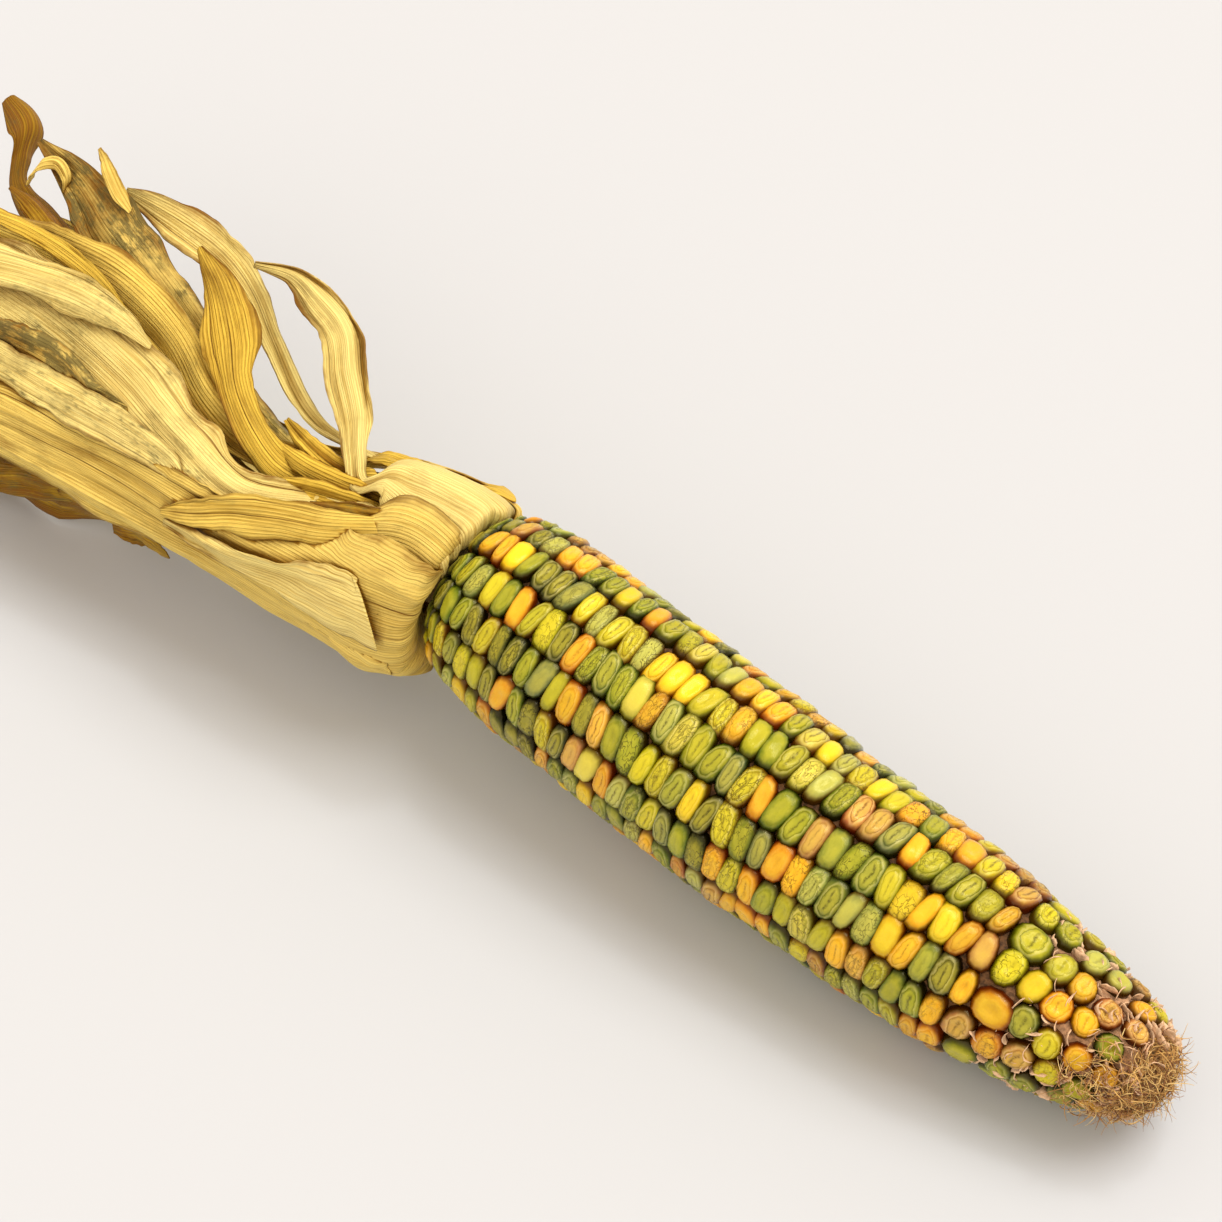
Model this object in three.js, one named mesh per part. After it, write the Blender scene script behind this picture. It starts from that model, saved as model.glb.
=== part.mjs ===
// A dried ear of painted dent corn, lying on its side with its husk pulled back.
// Millimetres, +Z up. The origin is the small flat spot near the tip that the ear rests on;
// +X runs along the ear towards its tip.

import * as THREE from 'three';

// ---- The ear -------------------------------------------------------------------------------

const REST_TILT = 6; // degrees; the husk props the butt up, so the tip lies lower
const REST_KERNEL = 31; // the kernel of the bottom row whose crown is the rest spot
const FLAT_DEPTH = 0.5; // how much of the lowest crowns the rest spot takes off

// The ear's outline over the kernel crowns: [distance from the butt, radius]
const CROWN_PROFILE = [
  [0.9, 9.8], [0.5, 14.5], [2.6, 18.8], [6.5, 21.5], [12, 23.1], [25, 24.5], [45, 24.8],
  [75, 25.0], [92, 25.0], [108, 24.1], [130, 24.0], [148, 23.2], [160, 21.4], [170, 20.0],
  [180, 18.0], [189, 15.4], [195, 13.0], [199, 10.6],
];
const BOW_RISE = 1.6; // both ends bow this far to the ear's upper side
const BOW_MIDDLE = 100;
const BOW_REACH = 85;

const KERNEL_ROWS = 14;
const KERNELS_PER_ROW = 44;
const PITCH_GROWTH = 0.14; // kernels are this share shorter at the butt and longer at the tip
const ROW_STAGGER = 0.9; // how far one row's kernels shift against another's, in kernels
const ROW_WANDER = 1.6; // degrees that a row strays sideways
const WANDER_LENGTH = 120;
const SEAM_JITTER = 0.16; // in kernels
const HEIGHT_JITTER = 0.5;

const ROW_GROOVE = 2.3; // depth of the valley between two rows
const SEAM_GROOVE = 1.0; // depth of the seam between two kernels of a row
const TIP_SEAM_GROOVE = 1.5;
const CROWN_SIDE = 0.27; // half-width of the crown's flat, as a share of the row
const CROWN_LINES = [0, 0.27, 0.73]; // seam, then the crown's two ends, within one kernel
const EVEN_ENDS = 3; // kernels at either end over which the rows' stagger fades out

// ---- The shank and the silk ----------------------------------------------------------------

const SHANK_RADIUS = 8.4;
const SHANK_LENGTH = 32;
const SHANK_SIDES = 14;

const SILK_BASE = 199.6; // the tuft starts just clear of the ear's end
const SILK_LENGTH = 8;
const SILK_SIDES = 16;
const SILK_RINGS = 5;
const SILK_REACH = 5;

// ---- The husk ------------------------------------------------------------------------------
// Husk points are [along, side, front]: along the ear from its butt, then two directions
// square to it, which are the ear's Y and Z turned about its axis by HUSK_ROLL.

const HUSK_ROLL = 31.3;
const LEAF_THICKNESS = 0.8;
const LEAF_STATIONS = 20;
const EDGE_WAVE = 0.10; // how much a leaf's half-width comes and goes along it
const LEAF_RIPPLE = 0.7; // height of the ripples that run across a leaf

// The root of each layer of leaves: [along, radius] from the shank, over the fold and back.
// The inner leaves of the growing ear fold nearest the butt and lie outermost.
const FOLDS = [
  [[-9, 9.3], [-4.2, 12], [-0.9, 16.8], [-2.2, 22.2], [-9.5, 25]],
  [[-16, 9.3], [-11.4, 11], [-7.8, 14.2], [-9.8, 17.8], [-17, 19.6]],
  [[-23, 9.3], [-18.6, 10.1], [-15.8, 11.5], [-17.2, 13.3], [-23, 14.3]],
  [[-9, 9.3], [-4.2, 12], [-0.9, 17.2], [0.9, 24.6], [-7, 29]],
  [[-9, 9.3], [-4.2, 12], [-1, 16.4], [-1.2, 21], [-7, 21]],
  [[-16, 9.3], [-12, 10.7], [-9.2, 12.9], [-10.8, 15.8], [-16.5, 16.8]],
];

// Each leaf: its layer; where its root faces and half its spread there, in degrees; its pleats;
// then its way from the fold, as
// [along, side, front, half-width, half-angle it wraps through, way it faces].
const LEAVES = [
  {
    name: 'husk_leaf_collar_front', layer: 3, facing: -56, spread: 56, pleats: 3, pleatDepth: 1.0,
    way: [
      [-24, -25, 15.5, 23.5, 58, -50], [-50.5, -28, 15, 15.5, 42, -48],
      [-88, -31.5, 13.5, 10.5, 22, -38], [-125, -36.5, 12, 9.5, 16, -32],
      [-160, -41.5, 8, 7, 12, -30], [-186, -44, 2, 1.5, 8, -30],
    ],
  },
  {
    name: 'husk_leaf_collar_top', layer: 4, facing: 51, spread: 36, pleats: 2, pleatDepth: 0.7,
    way: [
      [-16, 14.4, 13.2, 10.8, 32, 48], [-24.5, 13.6, 12.8, 5.4, 18, 46], [-29, 5, 15, 3, 12, 38],
      [-36, 10, 12.5, 2.8, 8, 30], [-43.5, 17, 9, 4.2, 6, 20], [-52, 24, 8, 5, 4, 12],
      [-59.5, 31, 7, 5.4, 0, 10], [-70, 34, 6, 4.2, 0, 6], [-79.5, 35.5, 4.5, 2.4, 0, 3],
      [-90.5, 32.5, 3, 0.8, 0, 0],
    ],
  },
  {
    name: 'husk_leaf_prop_back', layer: 0, facing: 180, spread: 46, pleats: 3, pleatDepth: 0.8,
    touches: 0.62,
    way: [
      [-25, -4, -24.8, 16, 42, 184], [-55, -7, -32.5, 11, 28, 180], [-90, -9, -42, 10, 12, 180],
      [-122, -8, -51.5, 9, 6, 180], [-145, -7, -54, 6.5, 4, 178], [-166, -6, -53, 1.2, 0, 176],
    ],
  },
  {
    name: 'husk_leaf_wide_pale', layer: 1, facing: -6, spread: 17, pleats: 2, pleatDepth: 0.8,
    way: [
      [-29, -4, 16.8, 5.4, 16, -6], [-51, -14.5, 18.5, 7.4, 16, 0], [-73.5, -12.5, 17.5, 9, 10, -4],
      [-96.5, -8.5, 17, 11.5, 10, -6], [-123.5, -7, 16, 11.5, 12, -8], [-153.5, -9, 12, 8, 10, -12],
      [-176.5, -12.5, 8, 1.2, 0, -15],
    ],
  },
  {
    name: 'husk_leaf_ribbon', layer: 5, facing: 90, spread: 26, pleats: 1, pleatDepth: 0.5,
    way: [
      [-26, 15.9, -1.4, 4, 14, 88], [-39, 11.8, -0.6, 3.4, 12, 80], [-56, 11, 1, 2.8, 8, 40],
      [-76, 20, 0, 2.8, 4, 25], [-88.5, 26.5, -1, 3.6, 4, 15], [-101, 30, -2, 5.4, 4, 10],
      [-116, 30.5, -3, 5.6, 4, 5], [-134.5, 29, -5, 0.8, 0, 0],
    ],
  },
  {
    name: 'husk_leaf_back_low', layer: 1, facing: 170, spread: 30, pleats: 2, pleatDepth: 0.7,
    way: [
      [-30, -6, -16.5, 9, 30, 176], [-52, -14, -17, 8.4, 22, 184], [-84, -18, -18, 8.4, 12, 188],
      [-120, -21, -21, 8, 8, 192], [-152, -24, -24, 5.5, 4, 192], [-176, -26, -25, 1.2, 0, 192],
    ],
  },
  {
    name: 'husk_leaf_brown_under', layer: 1, facing: -120, spread: 26, pleats: 2, pleatDepth: 0.6,
    touches: 0.72,
    way: [
      [-32, -23, -9, 7.2, 24, -116], [-53.5, -31.5, -9.5, 7, 20, -108],
      [-80.5, -38, -15, 8.5, 12, -88], [-103.5, -43, -21, 9.5, 8, -72],
      [-125, -46, -25.5, 8.5, 6, -66], [-147, -47.5, -28, 6, 4, -62],
      [-167.5, -47.5, -28, 1.2, 0, -60],
    ],
  },
  {
    name: 'husk_leaf_long_pale', layer: 1, facing: -55, spread: 26, pleats: 2, pleatDepth: 0.6,
    way: [
      [-30, -16, 10.4, 6.2, 24, -50], [-51.5, -19, 9.5, 6.5, 18, -28],
      [-75.5, -23, 9, 6.6, 10, -20], [-101, -24.5, 9, 7.5, 8, -18], [-132, -26, 8, 7, 6, -20],
      [-158.5, -29, 5, 4.6, 4, -22], [-180.5, -32, 1, 1, 0, -22],
    ],
  },
  {
    name: 'husk_leaf_golden', layer: 2, facing: 22, spread: 22, pleats: 1, pleatDepth: 0.8,
    way: [
      [-36, 0.5, 10.6, 4, 16, 12], [-49, -3, 12.2, 4.4, 12, 12], [-60, 0, 13, 4, 10, 8],
      [-70, 6, 14.5, 4.8, 12, 6], [-78.5, 14.5, 15, 6.6, 12, 6], [-89.5, 23, 14, 4.8, 8, 6],
      [-100.5, 28, 12, 0.8, 0, 6],
    ],
  },
  {
    name: 'husk_leaf_yellow_long', layer: 2, facing: 72, spread: 20, pleats: 2, pleatDepth: 0.6,
    way: [
      [-31, 8, 4.4, 3.9, 18, 56], [-44, 3, 5.8, 4.2, 14, 36], [-60, -3, 8, 4.8, 10, 16],
      [-76.5, -0.5, 10, 5.6, 8, 8], [-93, 6.5, 10, 6.4, 8, 4], [-113.5, 9.5, 9.5, 7, 8, 0],
      [-133, 7.5, 8, 6, 6, 0], [-155, 3, 5, 3.6, 4, 0], [-172, 0.5, 2, 0.8, 0, 0],
    ],
  },
  {
    name: 'husk_leaf_grey_spotted', layer: 2, facing: 123, spread: 22, pleats: 2, pleatDepth: 0.6,
    way: [
      [-29.5, 9.5, -7.8, 4.8, 24, 116], [-42, 3.5, -2.5, 4.8, 16, 70], [-57, 0.6, 2.4, 4.8, 12, 32],
      [-82, 7, 4, 5.4, 8, 20], [-105.5, 13.5, 3, 7.2, 6, 12], [-128, 19, 1.5, 8.2, 8, 6],
      [-144, 24, 0, 4.8, 6, 2], [-160.5, 26.5, -2, 0.8, 0, 0],
    ],
  },
  {
    name: 'husk_leaf_curled_tip', layer: 2, facing: 184, spread: 26, pleats: 2, pleatDepth: 0.5,
    way: [
      [-31, -1.5, -11.6, 5.4, 24, 178], [-43, -4, -9.5, 5, 16, 150], [-58, -6, -6.5, 5, 12, 110],
      [-84, 1, -5, 5.4, 10, 60], [-110, 5, -5.5, 5.4, 10, 30], [-133.5, 8, -6.5, 4.6, 12, 20],
      [-151, 11.5, -7, 3.6, 14, 20], [-161, 15, -6.5, 2.4, 16, 22], [-164.5, 20.5, -6, 3, 24, 24],
      [-167.5, 27, -5, 5.2, 36, 30], [-176.5, 30.5, -5, 1.6, 20, 30],
    ],
  },
  {
    name: 'husk_leaf_inner_shaded', layer: 2, facing: -37, spread: 23, pleats: 2, pleatDepth: 0.7,
    way: [
      [-38, -8.6, 6.4, 5.2, 18, -28], [-56, -12.5, 5.6, 5.2, 12, -14], [-79, -12, 7.5, 7.5, 8, -8],
      [-102, -14, 7, 9, 8, -6], [-125.5, -17, 5, 8.5, 10, -6], [-150, -20.5, 2, 5.5, 6, -8],
      [-168.5, -23, -2, 1, 0, -10],
    ],
  },
  {
    name: 'husk_leaf_low_pale', layer: 2, facing: -106, spread: 28, pleats: 2, pleatDepth: 0.6,
    way: [
      [-38, -16, -0.5, 5.6, 18, -86], [-56, -22.5, 1.5, 5.6, 12, -66],
      [-83, -28.5, 0.5, 6.2, 8, -44], [-116.5, -33, -0.5, 6.2, 6, -38],
      [-146, -36.5, -2, 5, 4, -34], [-172, -39, -5, 1, 0, -32],
    ],
  },
  {
    name: 'husk_leaf_back_high', layer: 4, facing: 110, spread: 19, pleats: 1, pleatDepth: 0.3,
    way: [
      [-17, 18.7, -6.8, 5.4, 17, 110], [-28, 16.2, -10, 3.8, 14, 116], [-41, 11, -12.4, 3, 12, 124],
      [-60, 2, -13, 4, 12, 132], [-84, 3, -14, 5.2, 10, 138], [-110, 9, -15.5, 5.6, 8, 140],
      [-136, 13, -17, 4.2, 4, 140], [-156, 13, -18, 0.8, 0, 140],
    ],
  },
];

// ---- Finishes ------------------------------------------------------------------------------

const kernelFinish = new THREE.MeshStandardMaterial({ color: 0x8c8428, roughness: 0.35, metalness: 0 });
const shankFinish = new THREE.MeshStandardMaterial({ color: 0xb08b4a, roughness: 0.8, metalness: 0 });
const silkFinish = new THREE.MeshStandardMaterial({ color: 0x8a6238, roughness: 0.9, metalness: 0 });
const huskFinish = new THREE.MeshStandardMaterial({ color: 0xd9c27a, roughness: 0.75, metalness: 0 });

// ---- Helpers -------------------------------------------------------------------------------

const radians = THREE.MathUtils.degToRad;
const smoothstep = THREE.MathUtils.smoothstep;

// A repeatable draw from 0 to 1 for each pair of whole numbers
function draw(a, b) {
  const wave = Math.sin(a * 127.1 + b * 311.7 + 17.3) * 43758.5453;
  return wave - Math.floor(wave);
}

// The point and the outward normal of the crown profile at a share of its length
const profileCurve = new THREE.SplineCurve(CROWN_PROFILE.map(([x, r]) => new THREE.Vector2(x, r)));
profileCurve.arcLengthDivisions = 400;

function profileAt(share) {
  const bounded = THREE.MathUtils.clamp(share, 0, 1);
  const point = profileCurve.getPointAt(bounded);
  const tangent = profileCurve.getTangentAt(bounded);
  return { point, normal: new THREE.Vector2(-tangent.y, tangent.x) };
}

function bowAt(along) {
  return BOW_RISE * ((along - BOW_MIDDLE) / BOW_REACH) ** 2;
}

// A point of the ear at a distance from its bowed axis; the angle is from straight below
function roundAxis(along, radius, angle) {
  const bow = bowAt(along);
  const side = radius * Math.sin(angle) + bow * Math.cos(radians(HUSK_ROLL));
  const height = -radius * Math.cos(angle) + bow * Math.sin(radians(HUSK_ROLL));
  return new THREE.Vector3(along, side, height);
}

// A closed solid from a grid of points; its triangles are turned outwards if they face in
function solidGeometry(points, triangles) {
  let volume = 0;
  for (const [a, b, c] of triangles) {
    volume += points[a].dot(new THREE.Vector3().crossVectors(points[b], points[c]));
  }
  const faces = volume > 0 ? triangles : triangles.map(([a, b, c]) => [a, c, b]);
  const geometry = new THREE.BufferGeometry().setFromPoints(points);
  geometry.setIndex(faces.flat());
  geometry.computeVertexNormals();
  return geometry;
}

// A skin over rings of equal count, closed by a point at each end
function skinGeometry(rings, firstPole, lastPole) {
  const sides = rings[0].length;
  const points = [...rings.flat(), firstPole, lastPole];
  const first = points.length - 2;
  const last = points.length - 1;
  const triangles = [];
  for (let ring = 0; ring < rings.length - 1; ring++) {
    for (let side = 0; side < sides; side++) {
      const a = ring * sides + side;
      const b = ring * sides + (side + 1) % sides;
      triangles.push([a, b, b + sides], [a, b + sides, a + sides]);
    }
  }
  const lastRing = (rings.length - 1) * sides;
  for (let side = 0; side < sides; side++) {
    const next = (side + 1) % sides;
    triangles.push([first, next, side], [last, lastRing + side, lastRing + next]);
  }
  return solidGeometry(points, triangles);
}

// ---- The ear's kernels ---------------------------------------------------------------------

// The middle of a row, in radians from straight below; the bottom row runs straight
function rowAngle(row, along) {
  const strays = row === 0 ? 0 : ROW_WANDER;
  const wave = Math.sin(2 * Math.PI * (along / WANDER_LENGTH + draw(row, 1)));
  return 2 * Math.PI * row / KERNEL_ROWS + radians(strays) * wave;
}

// How far along the profile, as a share, a place in a row lies; places count in kernels
function placeShare(row, place) {
  const fromEnd = Math.min(place, KERNELS_PER_ROW - place);
  const stagger = ROW_STAGGER * (draw(row, 2) - 0.5) * smoothstep(fromEnd, 0, EVEN_ENDS);
  const seam = Math.round(place);
  const isInside = seam > 0 && seam < KERNELS_PER_ROW;
  const jitter = isInside ? SEAM_JITTER * (draw(row, 10 + seam) - 0.5) : 0;
  const share = (place + stagger + jitter) / KERNELS_PER_ROW;
  return share * (1 + PITCH_GROWTH * (share - 1));
}

function kernelRise(row, kernel) {
  return HEIGHT_JITTER * (draw(row, 100 + kernel) - 0.5);
}

// The ear's surface at a row, a place along it and a shift across it, sunk by a depth
function earPoint(row, place, across, depth) {
  const { point, normal } = profileAt(placeShare(row, place));
  const here = rowAngle(row, point.x);
  const neighbour = rowAngle(row + Math.sign(across), point.x);
  const angle = across === 0 ? here : here + Math.abs(across) * (neighbour - here);
  return roundAxis(point.x - normal.x * depth, point.y - normal.y * depth, angle);
}

// One line of points round the ear: for each row a valley point, then the crown's two sides
function earRing(kernel, line) {
  const place = kernel + CROWN_LINES[line];
  const isSeam = line === 0;
  const towardsTip = place / KERNELS_PER_ROW;
  const seamDepth = THREE.MathUtils.lerp(SEAM_GROOVE, TIP_SEAM_GROOVE, towardsTip);
  const ring = [];
  for (let row = 0; row < KERNEL_ROWS; row++) {
    const depth = isSeam ? seamDepth : -kernelRise(row, kernel);
    const before = earPoint(row, place, -0.5, ROW_GROOVE);
    const after = earPoint(row - 1, place, 0.5, ROW_GROOVE);
    ring.push(before.lerp(after, 0.5));
    ring.push(earPoint(row, place, -CROWN_SIDE, depth), earPoint(row, place, CROWN_SIDE, depth));
  }
  return ring;
}

function earRings() {
  const rings = [];
  for (let kernel = 0; kernel < KERNELS_PER_ROW; kernel++) {
    for (let line = 0; line < CROWN_LINES.length; line++) {
      rings.push(earRing(kernel, line));
    }
  }
  rings.push(earRing(KERNELS_PER_ROW, 0));
  return rings;
}

// ---- Where the ear lies --------------------------------------------------------------------

const restCrown = earPoint(0, REST_KERNEL + 0.5, 0, FLAT_DEPTH);
const lie = new THREE.Matrix4().makeRotationY(radians(REST_TILT));
lie.setPosition(restCrown.clone().applyMatrix4(lie).negate());

const cob = new THREE.Group();
cob.rotation.y = radians(REST_TILT);
cob.position.setFromMatrixPosition(lie);

const husk = new THREE.Group();
husk.rotation.x = radians(HUSK_ROLL);
cob.add(husk);

function addPiece(parent, name, geometry, finish) {
  const mesh = new THREE.Mesh(geometry, finish);
  mesh.name = name;
  parent.add(mesh);
}

// Points below the surface that the ear lies on are raised to it, which makes the rest spot
function flattenedToRest(point) {
  const height = point.clone().applyMatrix4(lie).z;
  if (height < 0) {
    point.z -= height / Math.cos(radians(REST_TILT));
  }
  return point;
}

// ---- The pieces ----------------------------------------------------------------------------

function addEar() {
  const rings = earRings().map((ring) => ring.map(flattenedToRest));
  const buttFace = roundAxis(CROWN_PROFILE[0][0] + ROW_GROOVE / 2, 0, 0);
  const tipFace = roundAxis(CROWN_PROFILE.at(-1)[0] - ROW_GROOVE / 2, 0, 0);
  addPiece(cob, 'ear', skinGeometry(rings, buttFace, tipFace), kernelFinish);
}

function addShank() {
  const stations = [[-0.2, 0.86], [-11, 1], [-22, 0.94], [-SHANK_LENGTH, 0.9]];
  const rings = stations.map(([along, share]) => {
    const ring = [];
    for (let side = 0; side < SHANK_SIDES; side++) {
      const angle = 2 * Math.PI * side / SHANK_SIDES;
      const ridge = side % 2 === 0 ? 1 : 0.95;
      const radius = SHANK_RADIUS * share * ridge;
      ring.push(new THREE.Vector3(along, radius * Math.sin(angle), radius * Math.cos(angle)));
    }
    return ring;
  });
  const start = new THREE.Vector3(stations[0][0], 0, 0);
  const end = new THREE.Vector3(-SHANK_LENGTH, 0, 0);
  addPiece(husk, 'shank', skinGeometry(rings, start, end), shankFinish);
}

// A small dome of dried silk: every other point of its rings is drawn out into a strand
function addSilk() {
  const domeRadius = CROWN_PROFILE.at(-1)[1] * 0.8;
  const rings = [];
  for (let ring = 0; ring < SILK_RINGS; ring++) {
    const lean = (Math.PI / 2) * ring / SILK_RINGS;
    const points = [];
    for (let side = 0; side < SILK_SIDES; side++) {
      const isStrand = (ring + side) % 2 === 0;
      const reach = isStrand ? SILK_REACH * (0.35 + draw(ring, 200 + side)) : 0;
      const angle = 2 * Math.PI * (side + 0.3 * ring) / SILK_SIDES;
      const radius = (domeRadius + 0.5 * reach) * Math.cos(lean);
      const along = SILK_BASE + SILK_LENGTH * Math.sin(lean) + (ring === 0 ? 0 : reach);
      const bow = bowAt(SILK_BASE);
      points.push(new THREE.Vector3(along, bow + radius * Math.sin(angle), radius * Math.cos(angle)));
    }
    rings.push(points);
  }
  const bow = bowAt(SILK_BASE);
  const base = new THREE.Vector3(SILK_BASE, bow, 0);
  const peak = new THREE.Vector3(SILK_BASE + SILK_LENGTH + SILK_REACH, bow, 0);
  addPiece(husk, 'silk_tuft', skinGeometry(rings, base, peak), silkFinish);
}

// The fold of a leaf's layer as stations like those of its way
function foldStations(leaf) {
  const facing = radians(leaf.facing);
  const spread = radians(leaf.spread);
  return FOLDS[leaf.layer].map(([along, radius]) => [
    along, radius * Math.sin(facing), radius * Math.cos(facing),
    radius * spread, leaf.spread, leaf.facing,
  ]);
}

// Smoothly joins a leaf's stations and reads one number of them at a share of the leaf
function stationReader(stations) {
  const curves = [0, 3].map((start) => new THREE.CatmullRomCurve3(
    stations.map((station) => new THREE.Vector3(...station.slice(start, start + 3))),
  ));
  return (share) => ({
    centre: curves[0].getPoint(share),
    spread: curves[1].getPoint(share),
    heading: curves[0].getTangent(share),
  });
}

// The leaf's middle surface, a grid of points across each of its stations
function leafGrid(leaf, number) {
  const read = stationReader([...foldStations(leaf), ...leaf.way]);
  const columns = leaf.pleats * 2;
  const grid = [];
  for (let station = 0; station <= LEAF_STATIONS; station++) {
    const share = station / LEAF_STATIONS;
    const { centre, spread, heading } = read(share);
    const facing = radians(spread.z);
    const outward = new THREE.Vector3(0, Math.sin(facing), Math.cos(facing));
    const across = new THREE.Vector3(0, Math.cos(facing), -Math.sin(facing));
    across.addScaledVector(heading, -across.dot(heading)).normalize();
    const wrap = Math.abs(spread.y) < 1 ? radians(1) : radians(spread.y);
    const free = smoothstep(share, 0.3, 0.6);
    const halfWidth = spread.x * (1 + EDGE_WAVE * free * (draw(number, 300 + station) - 0.5) * 2);
    const ripple = LEAF_RIPPLE * free * (draw(number, 400 + station) - 0.5) * 2;
    const points = [];
    for (let column = 0; column <= columns; column++) {
      const lean = (column / columns * 2 - 1) * wrap;
      const isRidge = column % 2 === 1;
      const taper = Math.min(1, halfWidth / 4) * smoothstep(share, 0.12, 0.3);
      const lift = (isRidge ? leaf.pleatDepth * taper : 0) + ripple * (column / columns - 0.5);
      const point = centre.clone();
      point.addScaledVector(across, halfWidth * Math.sin(lean) / wrap);
      point.addScaledVector(outward, halfWidth * (Math.cos(lean) - 1) / wrap + lift);
      points.push(point);
    }
    grid.push(points);
  }
  return grid;
}

// The unit normal of the grid at a point, from its neighbours
function gridNormal(grid, i, j) {
  const along = new THREE.Vector3().subVectors(
    grid[Math.min(i + 1, grid.length - 1)][j], grid[Math.max(i - 1, 0)][j],
  );
  const across = new THREE.Vector3().subVectors(
    grid[i][Math.min(j + 1, grid[i].length - 1)], grid[i][Math.max(j - 1, 0)],
  );
  return across.cross(along).normalize();
}

// Gives the grid its thickness: two faces split alike, joined round the edge
function leafGeometry(grid, leaf) {
  const rows = grid.length;
  const columns = grid[0].length;
  const half = LEAF_THICKNESS / 2;
  const faces = [half, -half].map((offset) => grid.map((row, i) => row.map(
    (point, j) => point.clone().addScaledVector(gridNormal(grid, i, j), offset),
  )));
  if (leaf.touches) {
    lowerToRest(faces, leaf.touches);
  }
  const points = faces.flat(2);
  const other = rows * columns;
  const triangles = [];
  const join = (a, b) => triangles.push([a, b, b + other], [a, b + other, a + other]);
  for (let i = 0; i < rows - 1; i++) {
    for (let j = 0; j < columns - 1; j++) {
      const a = i * columns + j;
      const c = a + columns;
      triangles.push([a, c, c + 1], [a, c + 1, a + 1]);
      triangles.push([other + a, other + c + 1, other + c], [other + a, other + a + 1, other + c + 1]);
    }
    join((i + 1) * columns, i * columns);
    join((i + 1) * columns - 1, (i + 2) * columns - 1);
  }
  for (let j = 0; j < columns - 1; j++) {
    join(j, j + 1);
    join((rows - 1) * columns + j + 1, (rows - 1) * columns + j);
  }
  return solidGeometry(points, triangles);
}

// Bends a prop leaf so that its lowest point just meets the surface below
function lowerToRest(faces, touches) {
  const place = new THREE.Matrix4().makeRotationX(radians(HUSK_ROLL)).premultiply(lie);
  const up = new THREE.Vector3(0, 0, 1).transformDirection(place.clone().invert());
  const heights = faces.flat(2).map((point) => point.clone().applyMatrix4(place).z);
  const drop = -Math.min(...heights);
  for (const face of faces) {
    face.forEach((row, i) => {
      const bend = smoothstep(i / (face.length - 1), 0.15, touches);
      row.forEach((point) => point.addScaledVector(up, drop * bend));
    });
  }
}

function addHusk() {
  LEAVES.forEach((leaf, number) => {
    addPiece(husk, leaf.name, leafGeometry(leafGrid(leaf, number), leaf), huskFinish);
  });
}

addEar();
addShank();
addSilk();
addHusk();

export default cob;
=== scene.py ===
# A dried ear of painted dent corn with its husk pulled back, dressed as a small studio set.
# The ear's kernels and the husk's leaves follow the same rules and the same seeded draws as
# the solids that they stand for. Lengths are in millimetres until a mesh is written.

import math
from collections import namedtuple

import bpy
import numpy as np
from mathutils import Matrix, Vector
from mathutils.bvhtree import BVHTree


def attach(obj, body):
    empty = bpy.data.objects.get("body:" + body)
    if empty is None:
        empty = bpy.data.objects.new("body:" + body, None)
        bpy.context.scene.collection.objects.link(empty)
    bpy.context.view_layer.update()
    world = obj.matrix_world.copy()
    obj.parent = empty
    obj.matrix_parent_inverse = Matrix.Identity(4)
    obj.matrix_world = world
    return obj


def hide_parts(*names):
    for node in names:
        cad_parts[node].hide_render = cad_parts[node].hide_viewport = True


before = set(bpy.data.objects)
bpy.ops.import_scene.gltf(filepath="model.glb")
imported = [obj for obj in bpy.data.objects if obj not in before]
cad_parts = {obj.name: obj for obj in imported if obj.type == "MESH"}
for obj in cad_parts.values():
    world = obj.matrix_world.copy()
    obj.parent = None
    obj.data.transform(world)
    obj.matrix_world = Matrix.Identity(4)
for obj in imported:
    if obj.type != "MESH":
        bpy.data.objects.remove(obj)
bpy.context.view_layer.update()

bl_info = {
    "name": "Painted Corn Ear",
    "version": (1, 0, 0),
    "blender": (4, 5, 0),
    "location": "3D View > Sidebar > Corn Ear",
    "description": "Builds the kernels, silk and husk of a dried ear of corn, and its stage",
    "category": "Object",
}

MM = 0.001

# ---- Where the ear lies --------------------------------------------------------------------

REST_TILT = math.radians(6)
HUSK_ROLL = math.radians(31.3)
REST_KERNEL = 31  # the kernel of the bottom row that it rests on
FLAT_DEPTH = 0.5  # how much of that kernel's crown the rest spot takes off

# ---- The ear, as in its solid --------------------------------------------------------------

# Its outline over the kernels' crowns: (distance from the butt, radius)
CROWN_PROFILE = [
    (0.9, 9.8), (0.5, 14.5), (2.6, 18.8), (6.5, 21.5), (12, 23.1), (25, 24.5), (45, 24.8),
    (75, 25.0), (92, 25.0), (108, 24.1), (130, 24.0), (148, 23.2), (160, 21.4), (170, 20.0),
    (180, 18.0), (189, 15.4), (195, 13.0), (199, 10.6),
]
PROFILE_SAMPLES = 2001
BOW_RISE = 1.6  # how far the ear's axis stands off at BOW_REACH from BOW_MIDDLE
BOW_MIDDLE = 100
BOW_REACH = 85
KERNEL_ROWS = 14
KERNELS_PER_ROW = 44
PITCH_GROWTH = 0.14  # how much shorter a kernel's pitch is at the butt, and longer at the tip
ROW_STAGGER = 0.9  # how far rows are shifted against each other, in kernels
ROW_WANDER = math.radians(1.6)
WANDER_LENGTH = 120
SEAM_JITTER = 0.16
HEIGHT_JITTER = 0.5
EVEN_ENDS = 3  # kernels at each end of a row over which its shift fades out

# ---- One kernel ----------------------------------------------------------------------------

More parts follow.
